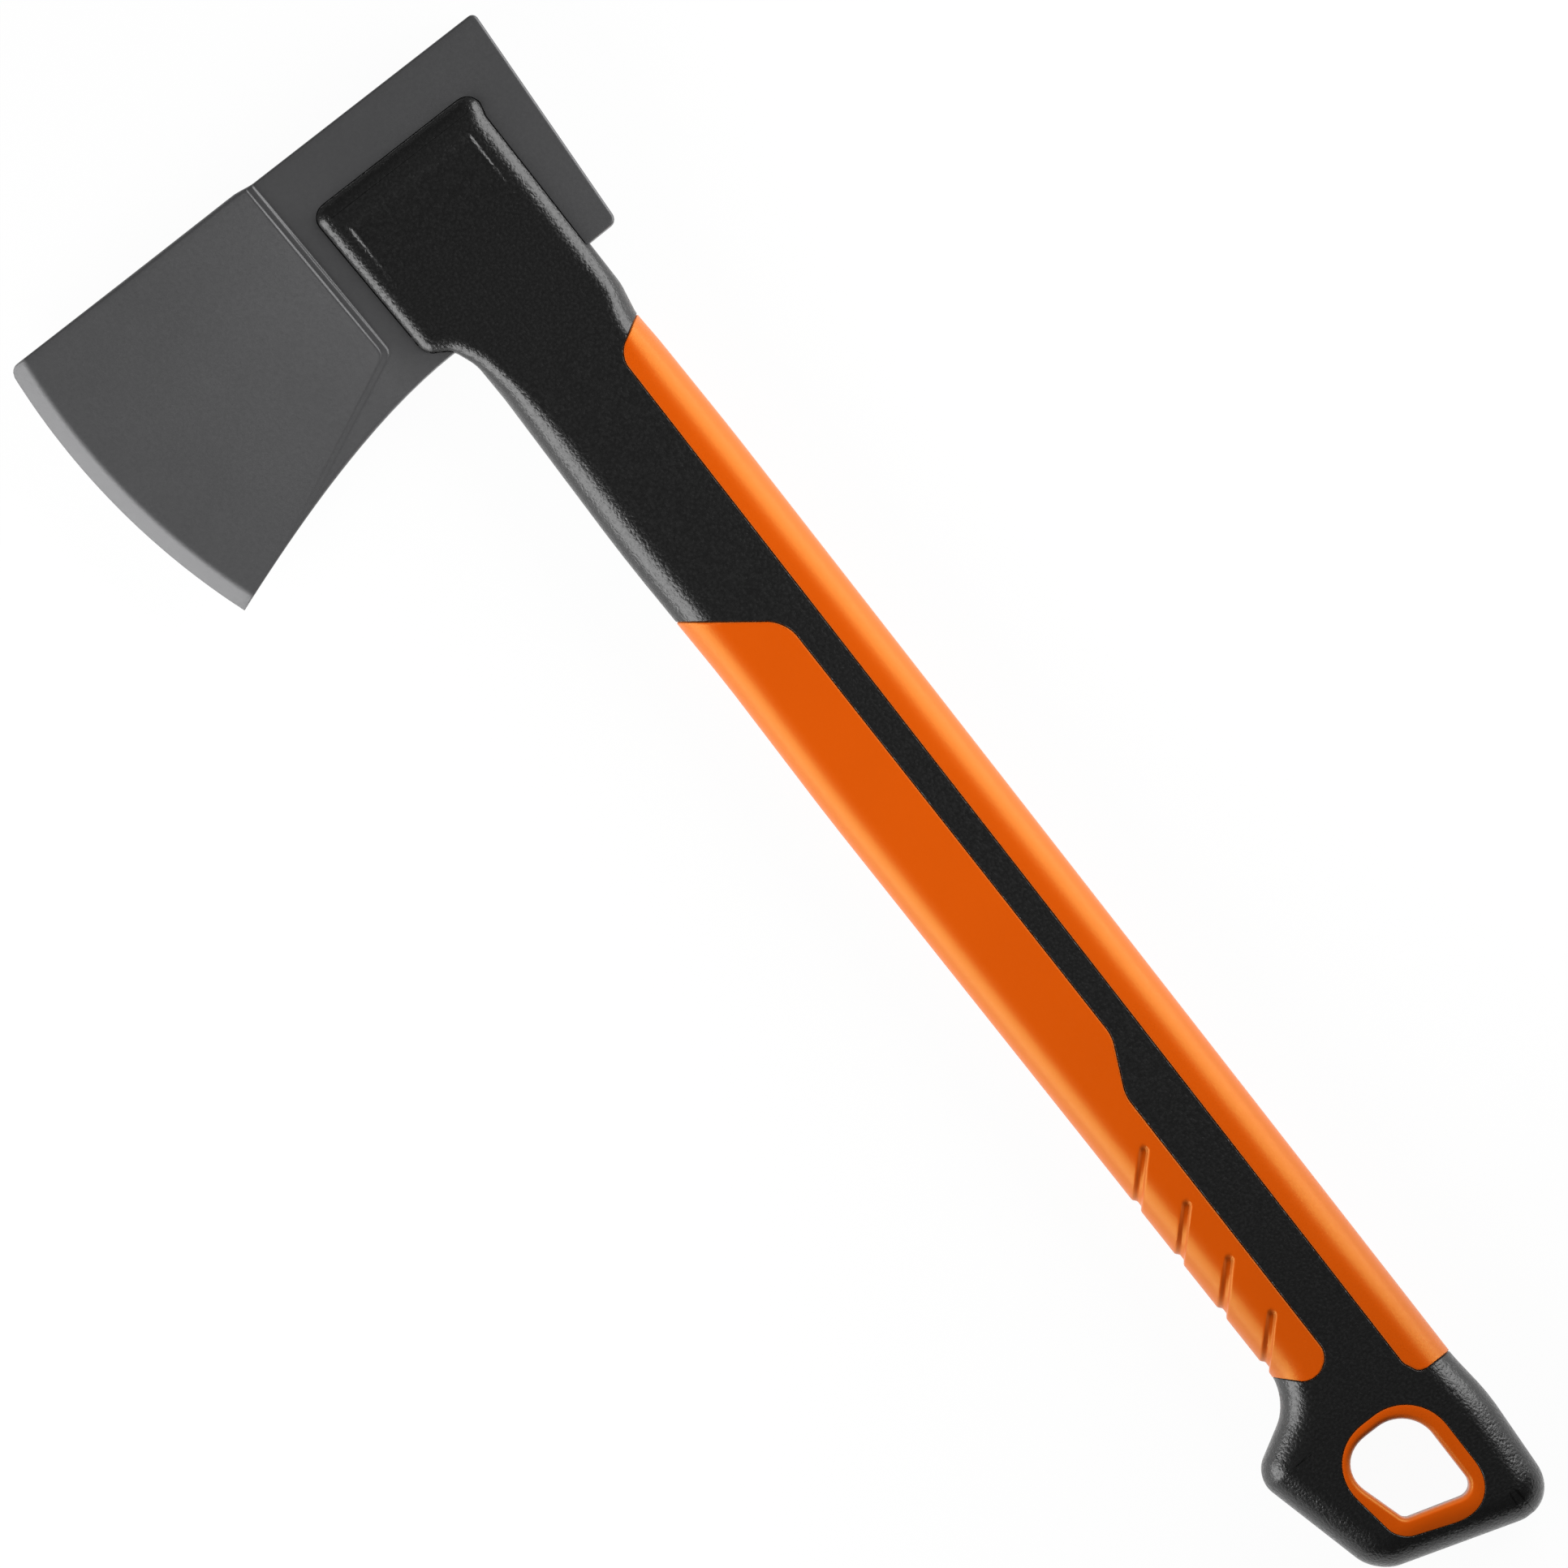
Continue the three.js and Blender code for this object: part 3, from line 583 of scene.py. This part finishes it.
print("shaping the grips")
bellyRows = gripSheet(belly, frontLine, frontNormals)
backRows = gripSheet(back, backLine, backNormals)
bellyGrip = wrappedSolid("belly_grip_rubber", bellyRows, gripRim, grooveSink)
backGrip = wrappedSolid("back_grip_rubber", backRows, gripRim)
finishPiece(bellyGrip, "belly_grip", softOrange)
finishPiece(backGrip, "back_grip", softOrange)


# The liner of the hang hole: a rounded mouth, a face flush with the knob, and a tube through it
liner = {
    "hole": [(548.4, 5, 13), (548.4, -28.2, 13.5), (577.6, -19.4, 2.8), (584.9, 5, 4.6)],
    "face": [(544.7, 10.4, 17), (544.7, -30.4, 19.5), (582.1, -25, 9), (595.4, 10.4, 13)],
    "middle": 568.4,  # x at the middle of the hole
    "arcSegments": 14,
    "mouthWidth": 1.8,
    "mouthHeight": 3.4,
    "mouthSteps": 6,
    "wall": 2.2,
    "flange": 2,
    "border": [(-0.4, 0), (-0.13, 0.05), (0, 0.32)],  # growth and drop of the face's rounded border
    "roomRim": [(mouldGap + roomFlare, -0.7), (mouldGap, 0.2)],  # and of its room's
}


def formHeight(point):  # height of the handle's upper surface
    distance = min((point - rimPoint).length for rimPoint in rimLine)
    width = roundWidth(point.x)
    cosine = min(max(1 - distance / width, 0), 1)
    return halfThickness(point.x) - roundHeight(point.x) * (1 - math.sqrt(1 - cosine * cosine))


def linerOutline(key, distance=0.0):
    return grown(roundedOutline(liner[key], segments=liner["arcSegments"]), distance)


def linerRing(key, growth, drop):  # on the handle's surface, less a drop
    return [Vector((p.x, p.y, formHeight(p) - drop)) for p in linerOutline(key, growth)]


def linerLevel(key, growth, z):
    return [Vector((p.x, p.y, z)) for p in linerOutline(key, growth)]


holeHalf = halfThickness(liner["middle"])
linerMesh = bmesh.new()
ring = startRim(linerMesh, linerLevel("hole", 0, 0))
for k in range(liner["mouthSteps"] + 1):
    angle = quarterTurn * k / liner["mouthSteps"]
    growth = liner["mouthWidth"] * (1 - math.cos(angle))
    ring = extrudeRim(linerMesh, ring,
                      linerLevel("hole", growth, holeHalf - liner["mouthHeight"] * (1 - math.sin(angle))))
for growth, drop in liner["border"] + [(0, liner["flange"])]:
    ring = extrudeRim(linerMesh, ring, linerRing("face", growth, drop))
ring = extrudeRim(linerMesh, ring, linerRing("hole", liner["wall"], liner["flange"]))
extrudeRim(linerMesh, ring, linerLevel("hole", liner["wall"], 0))
mirrorDown(linerMesh)
linerPiece = makeObject("hang_hole_liner_rubber", linerMesh)
finishPiece(linerPiece, "hang_hole_liner", softOrange)


# The handle itself, with room for the grips, the liner and the head's web
def linerRoom():
    bm = bmesh.new()
    ring = startRim(bm, linerRing("face", *liner["roomRim"][0]))
    bm.faces.new(ring)
    ring = extrudeRim(bm, ring, linerRing("face", *liner["roomRim"][1]))
    ring = extrudeRim(bm, ring, linerRing("face", mouldGap, liner["flange"] + mouldGap))
    ring = extrudeRim(bm, ring, linerRing("hole", liner["wall"] + mouldGap, liner["flange"] + mouldGap))
    extrudeRim(bm, ring, linerLevel("hole", liner["wall"] + mouldGap, 0))
    mirrorDown(bm)
    return makeObject("liner_room", bm)


def boxBetween(name, low, high):
    bm = bmesh.new()
    bmesh.ops.create_cube(bm, size=1)
    size, middle = Vector(high) - Vector(low), (Vector(high) + Vector(low)) / 2
    bmesh.ops.scale(bm, vec=size, verts=bm.verts)
    bmesh.ops.translate(bm, vec=middle, verts=bm.verts)
    return makeObject(name, bm)


print("shaping the handle")
webRoomFrom, webRoomTo = handle["webRoom"]
webRoomHalf = webHalf + pocketGap
handleMesh = bmesh.new()
handleHalf(handleMesh, handle["roundSteps"])
mirrorDown(handleMesh)
handlePiece = makeObject("handle_nylon", handleMesh)
cut(
    handlePiece,
    wrappedSolid("belly_room", gripSheet(belly, frontLine, frontNormals, fine=False), roomRim),
    wrappedSolid("back_room", gripSheet(back, backLine, backNormals, fine=False), roomRim),
    linerRoom(),
    boxBetween("web_room", (webRoomFrom, -farOut, -webRoomHalf), (webRoomTo, farOut, webRoomHalf)),
)
finishPiece(handlePiece, "handle_body", blackNylon)


# The head: rows across it, from the cutting edge over the raised cheek and its shoulder to the poll
head = {
    "toeReach": 149.4,
    "heel": (109.6, -137),
    "toeRadius": 3.2,
    "edgeRadius": 247,
    "edgeHalf": 0.2,
    "bevelWidth": 5.8,
    "bevelHalf": 1.7,
    "bevelSoftness": 0.9,
    "cheekHollow": 5.4,
    "steelHalf": 11,
    "ridge": [(0, -51.8), (71.5, -49.4), (97, -103)],  # border of the raised cheek
    "ridgeHalf": 12.2,
    "shoulderWidth": 2.3,
    "shoulderEdge": 0.45,  # half width of the steeper strip along each border of the shoulder
    "shoulderEdgeShare": 0.37,  # of the drop that each strip makes
    "kneeRound": 3,
    "underside": [(109.6, -137), (86, -72), (85.2, -34)],
    "poll": [(1, -34, 0), (85.2, -34, 0), (83.7, 37.8, 2.8), (1, 42.6, 2.2)],
    "leftEdge": [(-57, 0), (-48.5, 1)],  # the top edge's x, by y
    "sideRound": [(-57, 1.7), (-46, 0.9)],  # radius of the rounded borders, by y
    "neckSoftness": 5,
    "roundSteps": 4,
    "columns": 56,
    "straightKneeShare": 0.8,
    "pollCornerSegments": 5,
    "kneeColumns": 5,  # on each side of the knee
    "kneeColumnStep": 0.0052,  # a share of the row, as the next
    "kneeColumnReach": 0.03,
}
edgeRows = [0, 0.5, 1.1, 1.8, 2.5, 3.5, 4.4, 5, 5.4, 5.8, 6.2, 6.7, 7.5, 9]
cheekShares = [0.03, 0.07, 0.12, 0.18, 0.25, 0.32, 0.4, 0.48, 0.56, 0.64, 0.72, 0.8, 0.87, 0.93, 0.97]
shoulderRows = [-1.6, -0.9, -0.5, -0.25, 0, 0.25, 0.5, 0.8, 1.15, 1.5, 1.8, 2.05, 2.3, 2.55, 2.8, 3.2,
                3.8, 4.6]
neckShares = [0.08, 0.2, 0.35, 0.5, 0.65, 0.8, 0.92]
pollShares = [0.02, 0.08, 0.2, 0.35, 0.5, 0.65, 0.8, 0.92, 0.98]

toe, heel = Vector((0, -head["toeReach"])), Vector(head["heel"])
chord = heel - toe
rise = math.sqrt(head["edgeRadius"] ** 2 - chord.length_squared / 4)
edgeCentre = (toe + heel) / 2 + Vector((-chord.y, chord.x)).normalized() * rise
bevelRadius = head["edgeRadius"] - head["bevelWidth"]
ridgeRadius = head["edgeRadius"] - (head["toeReach"] + head["ridge"][0][1])
knee, fade = Vector(head["ridge"][1]), Vector(head["ridge"][2])
ridgeWay = (knee - Vector(head["ridge"][0])).normalized()
fadeWay = (fade - knee).normalized()
ridgeOut = Vector((-ridgeWay.y, ridgeWay.x))
fadeOut = Vector((-fadeWay.y, fadeWay.x))
kneeOut = (ridgeOut + fadeOut) / (1 + ridgeOut.dot(fadeOut))
kneeShare = 0.55  # of the columns lie before the knee


def undersidePoint(share):
    start, pull, end = (Vector(point) for point in head["underside"])
    return start.lerp(pull, share).lerp(pull.lerp(end, share), share)


def undersideSpot(measure, wanted):  # the underside's point where a rising measure of it is as wanted
    low, high = 0.0, 1.0
    for _ in range(halvings):
        middle = (low + high) / 2
        low, high = (middle, high) if measure(undersidePoint(middle)) < wanted else (low, middle)
    return undersidePoint(low)


columnShares = [k / head["columns"] for k in range(head["columns"] + 1)]
columnShares = [u for u in columnShares if abs(u - kneeShare) > head["kneeColumnReach"]]
kneeSteps = range(-head["kneeColumns"], head["kneeColumns"] + 1)
columnShares = sorted(columnShares + [kneeShare + head["kneeColumnStep"] * k for k in kneeSteps])


def arcRow(inset):  # parallel to the cutting edge
    radius = head["edgeRadius"] - inset
    round_ = head["toeRadius"]
    startX = round_ - math.sqrt(round_ ** 2 - max(0, round_ - inset) ** 2)
    startY = edgeCentre.y - math.sqrt(radius ** 2 - (startX - edgeCentre.x) ** 2)
    end = undersideSpot(lambda point: -(point - edgeCentre).length, -radius)
    startSpoke, endSpoke = Vector((startX, startY)) - edgeCentre, end - edgeCentre
    turn = endSpoke.angle(startSpoke)
    first = math.atan2(startSpoke.y, startSpoke.x)
    return [edgeCentre + Vector((math.cos(first + turn * u), math.sin(first + turn * u))) * radius
            for u in columnShares]


def shoulderRow(offset):  # parallel to the raised cheek's border, with its knee rounded
    corner = knee + kneeOut * offset
    startY = head["ridge"][0][1] + offset
    start = Vector((smoothRun(head["leftEdge"], startY), startY))
    end = undersideSpot(lambda point: (point - knee).dot(fadeOut), offset)
    before, after = (corner - start).length, (end - corner).length
    reach = head["kneeRound"]
    points = []
    for u in columnShares:
        if u <= kneeShare:
            run = before * (u / kneeShare - 1)
        else:
            run = after * (u - kneeShare) / (1 - kneeShare)
        if abs(run) >= reach:
            way = (start - corner) / before if run < 0 else (end - corner) / after
            points.append(corner + way * abs(run))
            continue
        share = (run + reach) / (2 * reach)
        a = corner + (start - corner) / before * reach
        b = corner + (end - corner) / after * reach
        points.append(a.lerp(corner, share).lerp(corner.lerp(b, share), share))
    return points


def straightRow(start, end):  # with its columns straight above those of the shoulder's rows
    aboveKnee = head["straightKneeShare"]
    return [start.lerp(end, aboveKnee * u / kneeShare if u < kneeShare
                       else mix(aboveKnee, 1, (u - kneeShare) / (1 - kneeShare)))
            for u in columnShares]


def blendRow(low, high, share):
    # Between two rows, with its right end kept on the underside
    points = [a.lerp(b, share) for a, b in zip(low, high)]
    miss = undersideSpot(lambda point: point.y, points[-1].y) - points[-1]
    points = [point + miss * u * u for point, u in zip(points, columnShares)]
    points[0].x = smoothRun(head["leftEdge"], points[0].y)
    return points


def headRows():
    # Each row has its points and the share of the shoulder's drop that it has made
    rows = [(arcRow(inset), 0) for inset in edgeRows]
    lastArc, firstShoulder = rows[-1][0], shoulderRow(shoulderRows[0])
    rows += [(blendRow(lastArc, firstShoulder, share), 0) for share in cheekShares]
    for offset in shoulderRows:
        edge, edgeShare = head["shoulderEdge"], head["shoulderEdgeShare"]
        width = head["shoulderWidth"]
        strips = smoothStep(offset, -edge, edge) + smoothStep(offset, width - edge, width + edge)
        drop = edgeShare * strips
        drop += (1 - 2 * edgeShare) * min(max(offset / width, 0), 1)
        rows.append((shoulderRow(offset), drop))
    outline = roundedOutline(head["poll"], segments=head["pollCornerSegments"])
    arcPoints = head["pollCornerSegments"] + 1
    rightArc, leftArc = outline[2:2 + arcPoints], outline[2 + arcPoints:2 + 2 * arcPoints][::-1]
    firstStraight = straightRow(outline[0], outline[1])
    rows += [(blendRow(rows[-1][0], firstStraight, share), 1) for share in neckShares]
    rows.append((firstStraight, 1))
    rows += [(straightRow(outline[0].lerp(leftArc[0], share), outline[1].lerp(rightArc[0], share)), 1)
             for share in pollShares]
    rows += [(straightRow(a, b), 1) for a, b in zip(leftArc, rightArc)]
    return rows


def cheekHeight(point, ridgeHalf):  # half thickness of the wedge that reaches a half at the ridge
    radius = (point - edgeCentre).length
    share = (bevelRadius - radius) / (bevelRadius - ridgeRadius)
    if share > 0:
        height = mix(head["bevelHalf"], ridgeHalf, share) - 2 * head["cheekHollow"] * share * (1 - share)
    else:
        bevelShare = (head["edgeRadius"] - radius) / head["bevelWidth"]
        height = mix(head["edgeHalf"], head["bevelHalf"], bevelShare)
    past, soft = radius - bevelRadius, head["bevelSoftness"]
    slope = (head["bevelHalf"] - head["edgeHalf"]) / head["bevelWidth"]
    if abs(past) < soft:
        height = head["bevelHalf"] - slope * (soft + past) ** 2 / (4 * soft)
    return height


def neckHeight(point):
    radius = (point - edgeCentre).length
    past, soft = radius - ridgeRadius, head["neckSoftness"]
    slope = (head["steelHalf"] - head["bevelHalf"] + 2 * head["cheekHollow"]) / (bevelRadius - ridgeRadius)
    if past < -soft:
        return head["steelHalf"]
    if past < soft:
        return head["steelHalf"] - slope * (soft + past) ** 2 / (4 * soft)
    return cheekHeight(point, head["steelHalf"])


def headHalf(bm):
    rows = headRows()
    outline = rimOf([points for points, _ in rows])
    inward = inwardNormals(outline)
    drops = rimOf([[drop] * len(points) for points, drop in rows])

    def height(point, drop):
        return mix(cheekHeight(point, head["ridgeHalf"]), neckHeight(point), drop)

    radii = [min(smoothRun(head["sideRound"], point.y), 0.5 * height(point, drop))
             for point, drop in zip(outline, drops)]
    rimPoints = [point + normal * radius for point, normal, radius in zip(outline, inward, radii)]
    last, width = len(rows) - 1, len(columnShares)
    right = rimPoints[width - 1:width + last]
    left = [rimPoints[0]] + rimPoints[:-last:-1] + [rimPoints[2 * width + last - 2]]

    def place(row, column):
        points, drop = rows[row]
        u = columnShares[column]
        if row == 0:
            point = rimPoints[column]
        elif row == last:
            point = rimPoints[2 * width + last - 2 - column]
        else:
            bulge = points[column] - points[0].lerp(points[-1], u)
            point = left[row].lerp(right[row], u) + bulge
        return Vector((point.x, point.y, height(point, drop)))

    rim = rimOf(gridSheet(bm, len(rows), width, place))
    tops = [vert.co.z for vert in rim]
    for k in range(1, head["roundSteps"] + 1):
        angle = quarterTurn * k / head["roundSteps"]
        draw, sink = 1 - math.sin(angle), 1 - math.cos(angle)
        rim = extrudeRim(bm, rim, [
            Vector((*(point + normal * radius * draw), top - radius * sink))
            for point, normal, radius, top in zip(outline, inward, radii, tops)])
    extrudeRim(bm, rim, [Vector((vert.co.x, vert.co.y, 0)) for vert in rim])


# Forged steel with a baked satin coat: dark grey, a little cloudy from the scale beneath it, with a
# fine orange peel. The ground bevel is painted paler: partly its thinner coat, partly a painted highlight.
def bakedCoatSteel():
    look = {
        "coat": "#4f4f50",
        "thinCoat": "#565657",
        "cloudSize": 26,
        # the ground bevel's colour: its thinner coat together with a painted highlight
        "bevelCoatAndHighlight": "#7e7e7f",
        "bevelFade": 1.6,
        "peelSize": 1.1,
        "peelDepth": 0.02,
        "metallic": 0.35,
        "roughness": (0.35, 0.45),
    }
    material, tree = newMaterial("baked_coat_steel")
    place = addNode(tree, "ShaderNodeTexCoord").outputs["Object"]
    cloud = addNode(tree, "ShaderNodeTexNoise", {
        "Vector": place, "Scale": 1 / (look["cloudSize"] * millimetre), "Detail": 4, "Roughness": 0.6})
    tone = addNode(tree, "ShaderNodeMix", {
        "Factor": cloud.outputs["Fac"], "A": linear(look["coat"]), "B": linear(look["thinCoat"])},
        data_type="RGBA")
    flat = addNode(tree, "ShaderNodeVectorMath", {0: place, 1: (1, 1, 0)}, operation="MULTIPLY").outputs[0]
    centre = (edgeCentre + Vector(frameOrigin[:2])) * millimetre
    distance = addNode(tree, "ShaderNodeVectorMath", {0: flat, 1: (*centre, 0)}, operation="DISTANCE")
    onBevel = addNode(tree, "ShaderNodeMapRange", {
        "Value": distance.outputs["Value"],
        "From Min": (bevelRadius - look["bevelFade"] / 2) * millimetre,
        "From Max": (bevelRadius + look["bevelFade"]) * millimetre,
    }, interpolation_type="SMOOTHSTEP").outputs["Result"]
    # The ground bevel is painted paler: partly its thinner coat, partly a painted highlight
    groundAndHighlight = addNode(tree, "ShaderNodeMix", {
        "Factor": onBevel, "A": tone.outputs["Result"], "B": linear(look["bevelCoatAndHighlight"])},
        data_type="RGBA")
    peel = addNode(tree, "ShaderNodeTexNoise", {
        "Vector": place, "Scale": 1 / (look["peelSize"] * millimetre), "Detail": 3, "Roughness": 0.55})
    rough = addNode(tree, "ShaderNodeMapRange", {
        "Value": peel.outputs["Fac"], "From Min": noiseRange[0], "From Max": noiseRange[1],
        "To Min": look["roughness"][0], "To Max": look["roughness"][1]})
    bump = addNode(tree, "ShaderNodeBump", {"Height": peel.outputs["Fac"], "Strength": 1,
                                            "Distance": look["peelDepth"] * millimetre})
    shader = addNode(tree, "ShaderNodeBsdfPrincipled", {
        "Base Color": groundAndHighlight.outputs["Result"], "Metallic": look["metallic"],
        "Roughness": rough.outputs["Result"], "Normal": bump.outputs["Normal"]})
    addNode(tree, "ShaderNodeOutputMaterial", {"Surface": shader.outputs["BSDF"]})
    return material


print("shaping the head")
headMesh = bmesh.new()
headHalf(headMesh)
mirrorDown(headMesh)
headPiece = makeObject("axe_head_steel", headMesh)
pocketMesh = bmesh.new()
floorRim = handleHalf(pocketMesh, handle["pocketSteps"], depth=-pocketGap, floor=webHalf, sunk=False)
pocketMesh.faces.new(floorRim)
mirrorDown(pocketMesh, mergeDistance=-1)
cut(headPiece, makeObject("pockets", pocketMesh))
finishPiece(headPiece, "axe_head", bakedCoatSteel())


# Floor, light and camera
studio = {
    "floorSize": 9,
    "floorColour": "#f4f4f4",
    "floorGlow": 0.96,  # share of plain white in what the camera sees of the floor
    "fill": 0.08,  # light from where no soft box stands
    # Soft boxes along both sides of the axe: name, centre, size, brightness
    "boxes": [("edge_side_box", (-0.11, -0.39, 0.205), (0.7, 0.4), 5.7),
              ("poll_side_box", (-0.085, 0.45, 0.225), (0.72, 0.44), 5.2)],
    "focalLength": 800,
    "sensorWidth": 36,
    "farthest": 30,  # metres that the camera sees
    "frameWidth": 0.5139,  # what the picture spans at the axe's middle plane
    "pictureCentre": (-0.03805, 0.02199, 0.014),
    "pictureTurn": math.atan2(0.7897, 0.6135),
}


def paleFloor():
    bm = bmesh.new()
    bmesh.ops.create_grid(bm, x_segments=1, y_segments=1, size=studio["floorSize"] / 2)
    mesh = bpy.data.meshes.new("floor")
    bm.to_mesh(mesh)
    bm.free()
    floor = bpy.data.objects.new("floor", mesh)
    bpy.context.scene.collection.objects.link(floor)
    material, tree = newMaterial("white_sweep")
    path = addNode(tree, "ShaderNodeLightPath").outputs
    seen = addNode(tree, "ShaderNodeMath", {0: path["Is Camera Ray"], 1: path["Is Glossy Ray"]},
                   operation="MAXIMUM")
    seen = addNode(tree, "ShaderNodeMath", {0: seen.outputs[0], 1: path["Is Transmission Ray"]},
                   operation="MAXIMUM")
    share = addNode(tree, "ShaderNodeMath", {0: seen.outputs[0], 1: studio["floorGlow"]},
                    operation="MULTIPLY")
    paper = addNode(tree, "ShaderNodeBsdfDiffuse", {"Color": linear(studio["floorColour"])})
    white = addNode(tree, "ShaderNodeEmission", {"Color": (1, 1, 1, 1), "Strength": 1})
    mixed = addNode(tree, "ShaderNodeMixShader", {
        0: share.outputs[0], 1: paper.outputs[0], 2: white.outputs[0]})
    addNode(tree, "ShaderNodeOutputMaterial", {"Surface": mixed.outputs[0]})
    mesh.materials.append(material)


def softBox(name, centre, size, brightness):  # an upright panel that faces the axe
    lamp = bpy.data.lights.new(name, "AREA")
    lamp.shape = "RECTANGLE"
    lamp.size, lamp.size_y = size
    lamp.energy = brightness * size[0] * size[1] * math.pi
    box = bpy.data.objects.new(name, lamp)
    box.location = centre
    box.rotation_euler = (-math.copysign(quarterTurn, centre[1]), 0, 0)
    box.visible_camera = False
    bpy.context.scene.collection.objects.link(box)


def studioSky():
    world = bpy.data.worlds.new("studio_sky")
    world.use_nodes = True
    tree = world.node_tree
    tree.nodes.clear()
    fill = addNode(tree, "ShaderNodeBackground", {"Color": (1, 1, 1, 1), "Strength": studio["fill"]})
    white = addNode(tree, "ShaderNodeBackground", {"Color": (1, 1, 1, 1), "Strength": 1})
    camera = addNode(tree, "ShaderNodeLightPath").outputs["Is Camera Ray"]
    mixed = addNode(tree, "ShaderNodeMixShader", {0: camera, 1: fill.outputs[0], 2: white.outputs[0]})
    addNode(tree, "ShaderNodeOutputWorld", {"Surface": mixed.outputs[0]})
    bpy.context.scene.world = world


def straightDownCamera():
    lens = bpy.data.cameras.new("camera")
    lens.lens = studio["focalLength"]
    lens.sensor_width = studio["sensorWidth"]
    lens.clip_end = studio["farthest"]
    camera = bpy.data.objects.new("camera", lens)
    distance = studio["frameWidth"] * studio["focalLength"] / studio["sensorWidth"]
    camera.location = Vector(studio["pictureCentre"]) + Vector((0, 0, distance))
    camera.rotation_euler = (0, 0, studio["pictureTurn"])
    bpy.context.scene.collection.objects.link(camera)
    bpy.context.scene.camera = camera


paleFloor()
studioSky()
for box in studio["boxes"]:
    softBox(*box)
straightDownCamera()
bpy.context.scene.view_settings.view_transform = "Standard"
print("studio ready")

bpy.context.view_layer.update()
